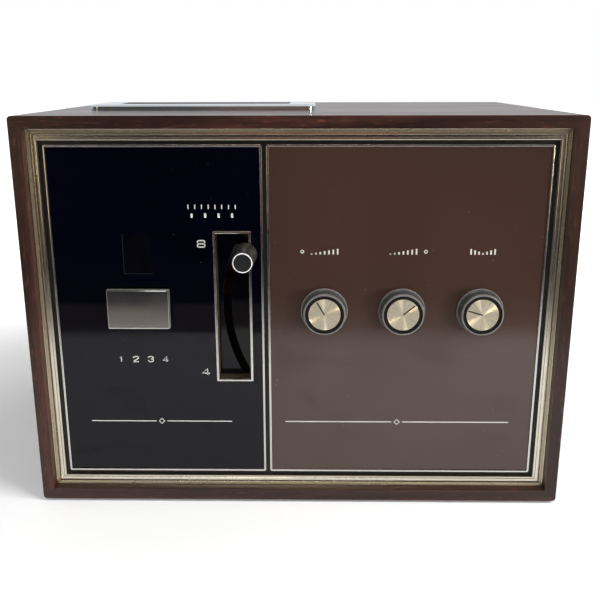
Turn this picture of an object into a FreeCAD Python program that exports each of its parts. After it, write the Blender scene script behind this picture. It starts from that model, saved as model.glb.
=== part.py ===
"""Table-top 8-track and 4-track cartridge player: walnut cabinet, two-tone control panel,
top-loading cartridge slot, tape drive and amplifier.  Millimetres, +Z up, front faces -Y,
origin at the middle of the base.  Depths (Y) run back from the cabinet's front edges."""
import FreeCAD, Part
import math
import os

os.makedirs("parts", exist_ok=True)

# ---- cabinet ---------------------------------------------------------------------------
CAB_W = 305.0            # outside width
CAB_H = 223.5            # outside height of the box
CAB_D = 218.0            # outside depth of the box
BOARD_T = 6.8            # veneered board
CORNER_R = 2.0           # softened long corners
FOOT_H = 1.6             # felt pads
FOOT_R = 8.0
FOOT_INSET = 24.0
BLOCK_S = 13.0           # corner glue blocks, square section
BLOCK_L = 22.0
BACK_T = 3.2             # hardboard back
BACK_RECESS = 11.0       # back panel sits this far inside the rear edges
VENT_N, VENT_W, VENT_L, VENT_PITCH = 7, 4.0, 70.0, 9.0
VENT_X, VENT_Z = 62.0, 150.0
CONNECTOR_SIDE = 49.7    # first jack, and the cord gland, in from the side boards
JACK_N, JACK_PITCH = 4, 16.0
JACK_R, JACK_BORE_R, JACK_OUT, JACK_IN = 4.2, 1.6, 8.0, 5.0
GLAND_Z = 34.0
GLAND_R, GLAND_BORE_R, GLAND_OUT = 6.5, 3.2, 7.0

# ---- front -----------------------------------------------------------------------------
TRIM_SET_BACK = 5.3      # outer lip of the gold trim behind the cabinet edges
TRIM_W = 6.2
PANEL_SET_BACK = 7.0     # face of the control panels
PANEL_T = 1.2
RIM_W = 1.2              # bright raised rim round each panel
RIM_H = 0.8
BORDER = 2.4             # black margin between trim and panels
SPLIT_X = -18.1          # middle of the gap between the two panels
SPLIT_GAP = 2.4
PLATE_T = 1.6            # steel front plate behind the panels

# ---- rotary controls ---------------------------------------------------------------------
KNOB_X = {"volume_left": 14.8, "volume_right": 58.4, "tone": 102.3}
KNOB_Z = 115.6
KNOB_R = 13.2            # skirt
KNOB_BODY_R = 12.1
KNOB_FACE_R = 11.2
KNOB_PROUD = 9.2         # face of the knob in front of the panel
KNOB_GAP = 0.6           # skirt to panel
KNOB_SKIRT_T = 1.3
KNOB_CAVITY_R = 8.6
KNOB_CAVITY = 4.2
INLAY_R = 9.3
INLAY_T = 1.0
GROOVE_R = 10.2
GROOVE_DEPTH = 0.9
SHAFT_R = 3.0
SHAFT_LEN = 15.5
BUSH_R = 4.7
NUT_AF = 12.7
NUT_T = 2.0
BUSH_PROUD = 1.0         # bushing thread in front of its nut
KNOB_FRONT_T = 2.2       # knob material in front of the shaft
POT_R = 12.0
POT_T = 12.5
FIT = 0.05               # running clearance on shafts, on radius
HOLE_FIT = 0.25          # clearance of holes round fixed things

# ---- track selector ------------------------------------------------------------------------
SEL_X = -36.5            # middle of the selector window
SEL_Z = 117.0
SEL_W = 21.1
SEL_H = 88.2
SEL_LINE = 1.35          # bright frame
SEL_DEPTH = 8.0          # slotted plate behind the panel face
SEL_WALL = 1.0
SLOT_ARC_R = 84.5        # lever pin to lever pivot
SLOT_W = 4.8
SWING = 47.0             # degrees from 8 to 4
SLOT_EXTRA = 5.0         # degrees of slot past each stop
PIVOT_X = 43.7
POST_R = 2.0
STUB_R = 1.25
JOGGLE = 5.4             # knob axis is this much nearer the pivot than the pin
JOGGLE_T = 1.6
JOGGLE_GAP = 0.6
SEL_KNOB_R0 = 6.4        # at the base
SEL_KNOB_R1 = 5.5        # at the tip
SEL_KNOB_GAP = 2.0       # base in front of the panel
SEL_KNOB_L = 22.5
SEL_RING_T = 1.0         # plated end ring
SEL_RING_W = 0.8
SEL_KNOB_BORE = 14.0
LEVER_BEHIND = 21.2      # lever arm behind the panel face
LEVER_T = 1.5
LEVER_W = 9.0
LEVER_HUB_R = 7.0
LEVER_GAP = 0.5          # lever to the bracket, its head and the drawbar
STUD_R = 2.5
BRACKET_W = 12.0
BRACKET_H = 52.0
BRACKET_T = 1.6
LINK_R = 12.41           # lever pivot to link pin
PIN_R = 1.5
PIN_PLAY = 0.35
LINK_PIN_L = 4.0
BAR_T = 2.0
BAR_POST_R, BAR_POST_Y, BAR_POST_TOP = 2.0, 54.0, 24.0

# ---- channel button and indicator -------------------------------------------------------------
BTN_X, BTN_Z = -89.4, 117.5
BTN_W, BTN_H = 34.6, 22.4
BTN_PROUD = 6.5
BTN_EDGE = 1.1
BTN_GAP = 0.4
BTN_TRAVEL = 3.0
BTN_STEM = 8.0
BTN_WALL = 1.5
GUIDE_L = 11.0
BTN_FLANGE_T = 1.2
SPRING_R, SPRING_WIRE = 5.8, 0.9
SWITCH_W, SWITCH_H, SWITCH_D = 20.0, 10.0, 10.0
WIN_X, WIN_Z = -89.3, 148.0
WIN_W, WIN_H = 16.0, 22.4
LAMP_BOX_D = 14.0
LAMP_R = 2.2
LAMP_RIB = 1.2

# ---- cartridge slot ---------------------------------------------------------------------------
SLOT_X = -59.2           # middle of the cartridge slot
SLOT_Y = 98.0            # depth of its middle behind the cabinet front
CART_W, CART_T = 102.0, 22.5
CART_PLAY = 1.75
BEZEL_W, BEZEL_D = 138.0, 55.0
BEZEL_H = 3.3
BEZEL_R = 5.5
BEZEL_BEVEL = 1.1
COLLAR_T = 1.6
WELL_T = 1.2
WELL_BOTTOM = 128.0      # lower edge of the well above the cabinet's underside
DOOR_T = 1.5
DOOR_GAP = 0.5
DOOR_PIN_R = 1.0
DOOR_PIN_IN = 3.0
DOOR_BARREL_R = 1.7
DOOR_RAISE = 1.6         # hinge axis above the top board
WELL_FLANGE = 7.0
WELL_STOP = 4.0
DETENT_UP, DETENT_ARM, DETENT_OUT = 30.0, 24.0, 7.0
DETENT_R, DETENT_PIN_R, DETENT_POKE = 4.0, 1.5, 1.4
DETENT_PIN_L, DETENT_W, DETENT_T = 17.0, 10.0, 2.0
DETENT_HUB_R, DETENT_BAR = 3.0, 3.0
DETENT_ROLLER_L = 7.0
DOOR_SWING = 88.0

# ---- tape drive -----------------------------------------------------------------------------------
DECK_BEHIND = 2.6        # deck plate behind the well
DECK_T = 1.6
DECK_SIDE = 7.7          # deck plate to the left side board
DECK_RIGHT = 82.0        # deck plate beyond the middle of the slot
DECK_TOP = 176.0
DECK_FOOT = 10.0
CAPSTAN_X, CAPSTAN_Z = -25.0, 124.0
CAPSTAN_R = 1.5
BEARING_R, BEARING_L = 6.0, 8.0
FLY_R, FLY_T, FLY_GAP = 42.0, 12.0, 1.2
FLY_RIM, FLY_WEB, FLY_HUB_R = 9.0, 4.0, 9.0
MOTOR_X, MOTOR_Z = -102.0, 58.0
MOTOR_R, MOTOR_L = 23.0, 42.0
MOTOR_SHAFT_R = 1.5
MOTOR_GRIP = 14.0        # shaft inside the motor
PULLEY_R, PULLEY_T = 5.0, 9.0
BELT_W, BELT_T, BELT_GAP = 4.0, 0.8, 0.3
ROLLER_R, ROLLER_L = 8.5, 17.0
ROLLER_AXLE_R = 1.5
ROLLER_CLEAR = 0.4
ARM_Y = 74.5             # depth of the roller arm's pivot
ARM_R = 3.0
ARM_REACH = 23.5         # pivot to the roller's middle
CRANK_R = 7.0
CRANK_T = 1.5
CRANK_EYE_R = 2.0
CRANK_PIN_L = 5.0
EAR_SPAN = 26.0          # between the ears that carry the roller arm
EAR_T = 1.5
HEAD_ROD_X, HEAD_ROD_Z, HEAD_ROD_R, HEAD_ROD_L = 14.0, 106.0, 1.5, 16.0
HEAD_W, HEAD_D, HEAD_CROWN, HEAD_POKE = 13.0, 14.0, 5.0, 1.0
HEAD_STEP = 0.8          # track pitch
CAM_R0 = 7.0
CAM_X, CAM_T = -66.0, 4.0
CAM_FROM, CAM_TO = -45, 300
CAM_GAP = 0.3
CAM_DROP = 15.0          # cam axis below the head rods
CAM_SHAFT_R = 2.0
RATCHET_N, RATCHET_R, RATCHET_T = 8, 8.0, 2.0
SOLENOID_W, SOLENOID_FRONT = 24.0, 10.0
SOLENOID_DOWN, SOLENOID_H = 12.0, 30.0
PAWL_RUN, PAWL_T = 3.2, 2.8
PLUNGER_R, PLUNGER_IN = 4.0, 20.0

# ---- chassis and electronics -----------------------------------------------------------------------
CHASSIS_T = 1.2
CHASSIS_SIDE = 4.7       # chassis to each side board
CHASSIS_FRONT = 36.0
CHASSIS_END = 1.8        # chassis to the rear glue blocks
CHASSIS_LIP = 9.0
CORE_W, CORE_D, CORE_H = 56.0, 34.0, 47.0
CORE_SIDE, CORE_Y = 55.7, 150.0     # middle of the core in from the right side board
BOARD_W, BOARD_D = 86.0, 84.0
BOARD_SIDE, BOARD_Y = 61.7, 84.0    # middle of the circuit board, likewise
PCB_T = 1.6
PCB_RAISE = 8.0
CAP_N, CAP_R, CAP_H, CAP_PITCH = 3, 8.0, 26.0, 26.0
TRANSISTOR_N, TRANSISTOR_PITCH = 6, 13.0
SCREW_R = 1.6
SCREW_HEAD_R = 3.2
SCREW_HEAD_T = 1.8
SCREW_L = 14.0
SCREW_EDGE = 14.0

# ---- places that follow from the sizes above ---------------------------------------------------------
SEL_TIP = SEL_KNOB_GAP + SEL_KNOB_L - PANEL_SET_BACK      # knob tip in front of the cabinet
Y0 = -(CAB_D - SEL_TIP) / 2                               # cabinet front edges
Z0 = FOOT_H                                               # cabinet underside
Y_TRIM = Y0 + TRIM_SET_BACK
Y_PANEL = Y0 + PANEL_SET_BACK
Y_PLATE = Y_PANEL + PANEL_T
Y_BEHIND = Y_PLATE + PLATE_T
Y_BACK = Y0 + CAB_D - BACK_RECESS                         # outer face of the back panel
HALF_W = CAB_W / 2 - BOARD_T                              # inside of the side boards
Z_FLOOR = Z0 + BOARD_T
Z_CEIL = Z0 + CAB_H - BOARD_T
Z_TOP = Z0 + CAB_H
MARGIN = TRIM_W + BORDER
Z_KNOB = Z0 + KNOB_Z
Z_SEL = Z0 + SEL_Z
Z_BTN = Z0 + BTN_Z
Z_WIN = Z0 + WIN_Z
Y_SLOT = Y0 + SLOT_Y
WELL_W = CART_W + 2 * CART_PLAY
WELL_D = CART_T + 2 * CART_PLAY
Y_WELL = Y_SLOT - WELL_D / 2 - WELL_T                     # front of the well's front wall
Y_DECK = Y_SLOT + WELL_D / 2 + WELL_T + DECK_BEHIND
Z_WELL = Z0 + WELL_BOTTOM
Z_CAPSTAN = Z0 + CAPSTAN_Z
Z_CHASSIS = Z_FLOOR + CHASSIS_T
CHASSIS_HALF = HALF_W - CHASSIS_SIDE
Y_CHASSIS = Y0 + CHASSIS_FRONT
Y_CHASSIS_BACK = Y_BACK - BACK_T - BLOCK_L - CHASSIS_END
DECK_X0, DECK_X1 = DECK_SIDE - HALF_W, SLOT_X + DECK_RIGHT
GLAND_X, JACK_X = HALF_W - CONNECTOR_SIDE, CONNECTOR_SIDE - HALF_W
CORE_X = HALF_W - CORE_SIDE
BOARD_X = HALF_W - BOARD_SIDE


# ---- helpers -------------------------------------------------------------------------------------
def v(x, y, z):
    return FreeCAD.Vector(x, y, z)


def block(x0, x1, y0, y1, z0, z1):
    return Part.makeBox(x1 - x0, y1 - y0, z1 - z0, v(x0, y0, z0))


def centred(x, z, w, h, y0, y1):
    """Box centred on x, z, between two depths."""
    return block(x - w / 2, x + w / 2, y0, y1, z - h / 2, z + h / 2)


def rod_y(x, z, r, y0, y1):
    return Part.makeCylinder(r, y1 - y0, v(x, y0, z), v(0, 1, 0))


def rod_x(y, z, r, x0, x1):
    return Part.makeCylinder(r, x1 - x0, v(x0, y, z), v(1, 0, 0))


def rod_z(x, y, r, z0, z1):
    return Part.makeCylinder(r, z1 - z0, v(x, y, z0), v(0, 0, 1))


def prism(points, direction):
    """Closed outline of 3-D points, extruded."""
    return Part.Face(Part.makePolygon(points + points[:1])).extrude(direction)


def rounded(shape, r, along):
    """Fillet the edges of a box that run along one axis."""
    edges = [e for e in shape.Edges
             if abs(abs(e.tangentAt(e.FirstParameter).dot(along)) - 1) < 1e-6]
    return shape.makeFillet(r, edges)


def fuse(first, *others):
    return first.fuse(list(others)).removeSplitter()


def cut(first, *others):
    return first.cut(list(others))


def group(solids):
    return Part.makeCompound(solids)


def export(shape, name):
    shape.exportStep("parts/%s.step" % name)


# ---- cabinet ---------------------------------------------------------------------------------------
def board(points):
    """Mitred board: its section in X and Z, run from front to back."""
    rough = prism([v(x, Y0, z) for x, z in points], v(0, CAB_D, 0))
    shell = block(-CAB_W / 2, CAB_W / 2, Y0, Y0 + CAB_D, Z0, Z_TOP)
    return rough.common(rounded(shell, CORNER_R, v(0, 1, 0)))


def cabinet():
    outer, low, high = CAB_W / 2, Z0, Z_TOP
    opening = centred_z(SLOT_X, Y_SLOT, collar_w(), collar_d(), Z_CEIL, Z_TOP)
    top = board([(-outer, high), (outer, high), (HALF_W, Z_CEIL), (-HALF_W, Z_CEIL)])
    export(cut(top, opening), "top_board")
    bottom = board([(-outer, low), (outer, low), (HALF_W, Z_FLOOR), (-HALF_W, Z_FLOOR)])
    holes = [rod_z(x, y, SCREW_R, Z0, Z_FLOOR) for x, y in chassis_screw_places()]
    sinks = [rod_z(x, y, SCREW_HEAD_R, Z0, Z0 + SCREW_HEAD_T) for x, y in chassis_screw_places()]
    export(cut(bottom, *(holes + sinks)), "bottom_board")
    for side, name in ((-1, "left_board"), (1, "right_board")):
        export(board([(side * outer, low), (side * outer, high),
                      (side * HALF_W, Z_CEIL), (side * HALF_W, Z_FLOOR)]), name)


def centred_z(x, y, w, d, z0, z1):
    return block(x - w / 2, x + w / 2, y - d / 2, y + d / 2, z0, z1)


def corner_blocks():
    """Glue blocks in the four corners, behind the front plate and before the back panel."""
    blocks = []
    for y in (Y_BEHIND, Y_BACK - BACK_T - BLOCK_L):
        for x in (-HALF_W, HALF_W - BLOCK_S):
            for z in (Z_FLOOR, Z_CEIL - BLOCK_S):
                blocks.append(block(x, x + BLOCK_S, y, y + BLOCK_L, z, z + BLOCK_S))
    holes = [rod_y(x, z, SCREW_R, Y_BACK - SCREW_L, Y_BACK) for x, z in back_screw_places()]
    export(group([cut(b, *holes) for b in blocks]), "corner_blocks")


def back_screw_places():
    x, low, high = HALF_W - BLOCK_S / 2, Z_FLOOR + BLOCK_S / 2, Z_CEIL - BLOCK_S / 2
    return [(sx * x, z) for sx in (-1, 1) for z in (low, high)]


def chassis_screw_places():
    front, back = Y_CHASSIS + SCREW_EDGE, Y_CHASSIS_BACK - SCREW_EDGE
    x = CHASSIS_HALF - SCREW_EDGE
    return [(sx * x, y) for sx in (-1, 1) for y in (front, back)]


def back_panel():
    panel = block(-HALF_W, HALF_W, Y_BACK - BACK_T, Y_BACK, Z_FLOOR, Z_CEIL)
    cuts = []
    for column in (-1, 1):
        for i in range(VENT_N):
            z = Z0 + VENT_Z + (i - (VENT_N - 1) / 2) * VENT_PITCH
            cuts.append(centred(column * VENT_X, z, VENT_L, VENT_W, Y_BACK - BACK_T, Y_BACK))
    cuts += [rod_y(x, z, SCREW_R, Y_BACK - BACK_T, Y_BACK) for x, z in back_screw_places()]
    cuts += [rod_y(x, z, JACK_R, Y_BACK - BACK_T, Y_BACK) for x, z in jack_places()]
    cuts.append(rod_y(GLAND_X, Z0 + GLAND_Z, GLAND_R, Y_BACK - BACK_T, Y_BACK))
    export(cut(panel, *cuts), "back_panel")


def jack_places():
    return [(JACK_X + i * JACK_PITCH, Z0 + GLAND_Z) for i in range(JACK_N)]


def screws():
    """Back-panel screws and chassis screws, all the same."""
    solids = []
    for x, z in back_screw_places():
        solids.append(fuse(rod_y(x, z, SCREW_R, Y_BACK - SCREW_L, Y_BACK),
                           rod_y(x, z, SCREW_HEAD_R, Y_BACK, Y_BACK + SCREW_HEAD_T)))
    for x, y in chassis_screw_places():
        solids.append(fuse(rod_z(x, y, SCREW_R, Z0 + SCREW_HEAD_T, Z0 + SCREW_HEAD_T + SCREW_L),
                           rod_z(x, y, SCREW_HEAD_R, Z0, Z0 + SCREW_HEAD_T)))
    export(group(solids), "screws")


def feet():
    places = [(sx * (CAB_W / 2 - FOOT_INSET), y) for sx in (-1, 1)
              for y in (Y0 + FOOT_INSET, Y0 + CAB_D - FOOT_INSET)]
    export(group([rod_z(x, y, FOOT_R, 0, Z0) for x, y in places]), "feet")


def rear_connectors():
    jacks = []
    for x, z in jack_places():
        barrel = fuse(rod_y(x, z, JACK_R, Y_BACK - BACK_T - JACK_IN, Y_BACK + JACK_OUT),
                      rod_y(x, z, JACK_R + 2, Y_BACK, Y_BACK + 1.5))
        jacks.append(cut(barrel, rod_y(x, z, JACK_BORE_R, Y_BACK - BACK_T, Y_BACK + JACK_OUT)))
    export(group(jacks), "speaker_jacks")
    z = Z0 + GLAND_Z
    gland = fuse(rod_y(GLAND_X, z, GLAND_R, Y_BACK - BACK_T - 4, Y_BACK + GLAND_OUT),
                 rod_y(GLAND_X, z, GLAND_R + 2.5, Y_BACK, Y_BACK + 2))
    export(cut(gland, rod_y(GLAND_X, z, GLAND_BORE_R, Y0, Y0 + CAB_D)), "cord_gland")


# ---- front -----------------------------------------------------------------------------------------
def trim_section(across, out):
    """Section of the gold moulding: outer lip, broad band, ridge, cove and inner bead.
    across(u) steps inwards from the cabinet wall, out(h) rises from the front plate."""
    high = Y_PLATE - Y_TRIM
    def at(u, h):
        return across(u) + out(h)
    lip, ridge, cove, bead = 0.12 * TRIM_W, 0.58 * TRIM_W, 0.68 * TRIM_W, 0.88 * TRIM_W
    edges = [Part.LineSegment(at(0, 0), at(0, high)),
             Part.LineSegment(at(0, high), at(lip, high)),
             Part.LineSegment(at(lip, high), at(lip, 0.80 * high)),
             Part.Arc(at(lip, 0.80 * high), at((lip + ridge) / 2, 0.98 * high),
                      at(ridge, 0.84 * high)),
             Part.Arc(at(ridge, 0.84 * high), at((ridge + cove) / 2, high),
                      at(cove, 0.80 * high)),
             Part.Arc(at(cove, 0.80 * high), at((cove + bead) / 2, 0.58 * high),
                      at(bead, 0.62 * high)),
             Part.Arc(at(bead, 0.62 * high), at((bead + TRIM_W) / 2, 0.78 * high),
                      at(TRIM_W, 0.56 * high)),
             Part.LineSegment(at(TRIM_W, 0.56 * high), at(TRIM_W, 0)),
             Part.LineSegment(at(TRIM_W, 0), at(0, 0))]
    return Part.Face(Part.Wire([e.toShape() for e in edges]))


def mitred(x_wall, z_wall):
    """Trapezium that mitres one side of the moulding; the wall it lies on is given."""
    x, z0, z1 = HALF_W, Z_FLOOR, Z_CEIL
    if x_wall:
        inner = x_wall - math.copysign(TRIM_W, x_wall)
        outline = [(x_wall, z0), (inner, z0 + TRIM_W), (inner, z1 - TRIM_W), (x_wall, z1)]
    else:
        inner = z_wall + (TRIM_W if z_wall == z0 else -TRIM_W)
        outline = [(-x, z_wall), (-x + TRIM_W, inner), (x - TRIM_W, inner), (x, z_wall)]
    return prism([v(px, Y_TRIM, pz) for px, pz in outline], v(0, Y_PLATE - Y_TRIM, 0))


def trim():
    out = lambda h: v(0, Y_PLATE - h, 0)
    rails, stiles = [], []
    for z, way in ((Z_FLOOR, 1), (Z_CEIL, -1)):
        face = trim_section(lambda u: v(-HALF_W, 0, z + way * u), out)
        rails.append(face.extrude(v(2 * HALF_W, 0, 0)).common(mitred(0, z)))
    for x, way in ((-HALF_W, 1), (HALF_W, -1)):
        face = trim_section(lambda u: v(x + way * u, 0, Z_FLOOR), out)
        stiles.append(face.extrude(v(0, 0, Z_CEIL - Z_FLOOR)).common(mitred(x, 0)))
    export(group(rails), "trim_rails")
    export(group(stiles), "trim_stiles")


def panel_bounds(left):
    """x0, x1, z0, z1 of a control panel."""
    outer = HALF_W - MARGIN
    if left:
        x0, x1 = -outer, SPLIT_X - SPLIT_GAP / 2
    else:
        x0, x1 = SPLIT_X + SPLIT_GAP / 2, outer
    return x0, x1, Z_FLOOR + MARGIN, Z_CEIL - MARGIN


def rimmed_panel(left):
    """Sheet with a bright raised rim round its edge."""
    x0, x1, z0, z1 = panel_bounds(left)
    sheet = rounded(block(x0, x1, Y_PANEL - RIM_H, Y_PLATE, z0, z1), RIM_W, v(0, 1, 0))
    sunk = block(x0 + RIM_W, x1 - RIM_W, Y_PANEL - RIM_H, Y_PANEL, z0 + RIM_W, z1 - RIM_W)
    return cut(sheet, sunk)


def front():
    deep = (Y_PLATE - 5, Y_BEHIND)
    window = centred(WIN_X, Z_WIN, WIN_W, WIN_H, *deep)
    button = centred(BTN_X, Z_BTN, BTN_W + 2 * BTN_GAP, BTN_H + 2 * BTN_GAP, *deep)
    selector = centred(SEL_X, Z_SEL, SEL_W, SEL_H, *deep)
    bushes = [rod_y(x, Z_KNOB, BUSH_R + HOLE_FIT, *deep) for x in KNOB_X.values()]
    export(cut(rimmed_panel(True), window, button, selector), "left_panel")
    export(cut(rimmed_panel(False), *bushes), "right_panel")
    plate = block(-HALF_W, HALF_W, Y_PLATE, Y_BEHIND, Z_FLOOR, Z_CEIL)
    lamp_hole = centred(WIN_X, Z_WIN, WIN_W - 2, WIN_H - 2, *deep)
    box_hole = centred(SEL_X, Z_SEL, box_w(), box_h(), *deep)
    export(cut(plate, lamp_hole, button, box_hole, *bushes), "front_plate")


def indicator():
    export(centred(WIN_X, Z_WIN, WIN_W, WIN_H, Y_PANEL, Y_PLATE), "indicator_lens")
    y1 = Y_BEHIND + LAMP_BOX_D
    box = centred(WIN_X, Z_WIN, WIN_W + 6, WIN_H + 6, Y_BEHIND, y1)
    cells, lamps = [], []
    w, h = (WIN_W - LAMP_RIB) / 2, (WIN_H - LAMP_RIB) / 2
    for sx in (-1, 1):
        for sz in (-1, 1):
            x, z = WIN_X + sx * (w + LAMP_RIB) / 2, Z_WIN + sz * (h + LAMP_RIB) / 2
            cells.append(centred(x, z, w, h, Y_BEHIND, y1 - 2))
            bulb = fuse(rod_y(x, z, LAMP_R, y1 - 10, y1 - 2),
                        Part.makeSphere(LAMP_R, v(x, y1 - 10, z)))
            lamps.append(bulb)
    export(cut(box, *cells), "lamp_block")
    export(group(lamps), "indicator_lamps")


# ---- channel button ------------------------------------------------------------------------------------
def channel_button():
    front, flange = Y_PANEL - BTN_PROUD, Y_BEHIND + BTN_GAP
    cap = centred(BTN_X, Z_BTN, BTN_W, BTN_H, front, flange)
    lip = [e for e in cap.Edges if e.CenterOfMass.y < front + 1e-6]
    cap = cap.makeChamfer(BTN_EDGE, lip)
    plate = centred(BTN_X, Z_BTN, BTN_W + 4, BTN_H + 4, flange, flange + BTN_FLANGE_T)
    back = Y_BEHIND + GUIDE_L + BTN_WALL
    stem = rod_y(BTN_X, Z_BTN, BTN_STEM / 2, flange, back + 1)
    export(fuse(cap, plate, stem), "channel_button")
    outer = centred(BTN_X, Z_BTN, BTN_W + 9, BTN_H + 9, Y_BEHIND, back)
    room = centred(BTN_X, Z_BTN, BTN_W + 5, BTN_H + 5, Y_BEHIND, back - BTN_WALL)
    bore = rod_y(BTN_X, Z_BTN, BTN_STEM / 2 + FIT, Y_BEHIND, back)
    export(cut(outer, room, bore), "button_guide")
    coil = cut(rod_y(BTN_X, Z_BTN, SPRING_R, flange + BTN_FLANGE_T, back - BTN_WALL),
               rod_y(BTN_X, Z_BTN, SPRING_R - SPRING_WIRE, flange, back))
    export(coil, "button_spring")
    rise = BTN_TRAVEL + 2.5
    feet_ = [centred(BTN_X + s * (SWITCH_W / 2 - 1.5), Z_BTN, 3, SWITCH_H, back, back + rise)
             for s in (-1, 1)]
    body = centred(BTN_X, Z_BTN, SWITCH_W, SWITCH_H, back + rise, back + rise + SWITCH_D)
    export(fuse(body, *feet_), "channel_switch")


# ---- rotary controls -------------------------------------------------------------------------------------
def rotary_controls():
    pots = []
    for name, x in KNOB_X.items():
        pots.append(potentiometer(x))
        export(knob_shaft(x), name + "_shaft")
        export(knob(x), name + "_knob")
        face = Y_PANEL - KNOB_PROUD
        export(rod_y(x, Z_KNOB, INLAY_R, face + 0.2, face + 0.2 + INLAY_T), name + "_inlay")
    export(group(pots), "potentiometers")


def bush_front():
    return Y_PANEL - NUT_T - BUSH_PROUD


def potentiometer(x):
    """Round can, threaded bush with its nut on the panel, and the bore for the shaft."""
    can = rod_y(x, Z_KNOB, POT_R, Y_BEHIND, Y_BEHIND + POT_T)
    lugs = block(x - 8, x + 8, Y_BEHIND + 3, Y_BEHIND + 4, Z_KNOB - POT_R - 6, Z_KNOB)
    bush = rod_y(x, Z_KNOB, BUSH_R, bush_front(), Y_BEHIND)
    corner = NUT_AF / math.sqrt(3)
    hexagon = [v(x + corner * math.cos(math.radians(60 * i)), Y_PANEL - NUT_T,
                 Z_KNOB + corner * math.sin(math.radians(60 * i))) for i in range(6)]
    nut = prism(hexagon, v(0, NUT_T, 0))
    bore = rod_y(x, Z_KNOB, SHAFT_R + FIT, bush_front(), shaft_back() + FIT)
    return cut(fuse(can, lugs, bush, nut), bore)


def shaft_back():
    return Y_PANEL - KNOB_PROUD + KNOB_FRONT_T + SHAFT_LEN


def knob_shaft(x):
    return rod_y(x, Z_KNOB, SHAFT_R, Y_PANEL - KNOB_PROUD + KNOB_FRONT_T, shaft_back())


def knob(x):
    """Skirt, barrel, bevelled face with a groove and a seat for the inlay."""
    back, face = Y_PANEL - KNOB_GAP, Y_PANEL - KNOB_PROUD
    outline = [(0, back), (KNOB_R, back), (KNOB_R, back - KNOB_SKIRT_T),
               (KNOB_BODY_R, back - KNOB_SKIRT_T - 0.5), (KNOB_BODY_R, face + 1.2),
               (KNOB_FACE_R, face), (0, face)]
    body = Part.Face(Part.makePolygon([v(x + r, y, Z_KNOB) for r, y in outline]
                                      + [v(x, back, Z_KNOB)]))
    body = body.revolve(v(x, 0, Z_KNOB), v(0, 1, 0), 360)
    body = Part.Solid(body) if body.ShapeType == "Shell" else body
    groove = cut(rod_y(x, Z_KNOB, GROOVE_R, face, face + GROOVE_DEPTH),
                 rod_y(x, Z_KNOB, INLAY_R + 0.3, face, face + GROOVE_DEPTH))
    seat = rod_y(x, Z_KNOB, INLAY_R, face, face + 0.2 + INLAY_T)
    cavity = rod_y(x, Z_KNOB, KNOB_CAVITY_R, back - KNOB_CAVITY, back)
    bore = rod_y(x, Z_KNOB, SHAFT_R, face + KNOB_FRONT_T, back)
    return cut(body, groove, seat, cavity, bore)


# ---- track selector ----------------------------------------------------------------------------------------
def box_w():
    return SEL_W - 2 * SEL_LINE + 2 * SEL_WALL


def box_h():
    return SEL_H - 2 * SEL_LINE + 2 * SEL_WALL


def polar(radius, degrees):
    """X and Z of a point round the lever's pivot; 0 degrees points left along the lever."""
    a = math.radians(degrees)
    return PIVOT_X - radius * math.cos(a), Z_SEL + radius * math.sin(a)


def curved_slot(y0, y1):
    reach = SWING / 2 + SLOT_EXTRA
    ring = cut(rod_y(PIVOT_X, Z_SEL, SLOT_ARC_R + SLOT_W / 2, y0, y1),
               rod_y(PIVOT_X, Z_SEL, SLOT_ARC_R - SLOT_W / 2, y0, y1))
    far = 2 * SLOT_ARC_R
    wedge = prism([v(PIVOT_X, y0, Z_SEL)] + [v(polar(far, a)[0], y0, polar(far, a)[1])
                                             for a in (-reach, reach)], v(0, y1 - y0, 0))
    ends = [rod_y(*polar(SLOT_ARC_R, a), SLOT_W / 2, y0, y1) for a in (-reach, reach)]
    return ring.common(wedge).fuse(ends)


def selector_housing():
    z_in, x_in = SEL_H - 2 * SEL_LINE, SEL_W - 2 * SEL_LINE
    frame = cut(centred(SEL_X, Z_SEL, SEL_W, SEL_H, Y_PANEL - RIM_H, Y_PLATE),
                centred(SEL_X, Z_SEL, x_in, z_in, Y_PANEL - RIM_H, Y_PLATE))
    export(frame, "selector_frame")
    back = Y_PANEL + SEL_DEPTH
    box = centred(SEL_X, Z_SEL, box_w(), box_h(), Y_PLATE, back + SEL_WALL)
    flange = centred(SEL_X, Z_SEL, box_w() + 5, box_h() + 5, Y_BEHIND, Y_BEHIND + SEL_WALL)
    hollow = centred(SEL_X, Z_SEL, x_in, z_in, Y_PLATE, back)
    export(cut(fuse(box, flange), hollow, curved_slot(back, back + SEL_WALL)), "selector_box")


def selector_bracket():
    """Strap behind the front plate with the stud that the lever turns on."""
    back = Y_PANEL + LEVER_BEHIND - LEVER_GAP
    x0, x1 = PIVOT_X - BRACKET_W / 2, PIVOT_X + BRACKET_W / 2
    z0, z1 = Z_SEL - BRACKET_H / 2, Z_SEL + BRACKET_H / 2
    strap = block(x0, x1, back - BRACKET_T, back, z0, z1)
    legs = [block(x0, x1, Y_BEHIND, back, z0, z0 + BRACKET_T),
            block(x0, x1, Y_BEHIND, back, z1 - BRACKET_T, z1),
            block(x0, x1, Y_BEHIND, Y_BEHIND + BRACKET_T, z0 - 8, z0 + BRACKET_T),
            block(x0, x1, Y_BEHIND, Y_BEHIND + BRACKET_T, z1 - BRACKET_T, z1 + 8)]
    end = back + LEVER_GAP + LEVER_T + LEVER_GAP
    stud = rod_y(PIVOT_X, Z_SEL, STUD_R, back, end)
    head = rod_y(PIVOT_X, Z_SEL, STUD_R + 1.5, end, end + 1)
    export(fuse(strap, stud, head, *legs), "selector_bracket")


def tilt(shape):
    """Turn a piece of the level lever up to its place for 8 tracks."""
    return shape.rotated(v(PIVOT_X, 0, Z_SEL), v(0, 1, 0), SWING / 2)


def knob_radius():
    return SLOT_ARC_R - JOGGLE


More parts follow.
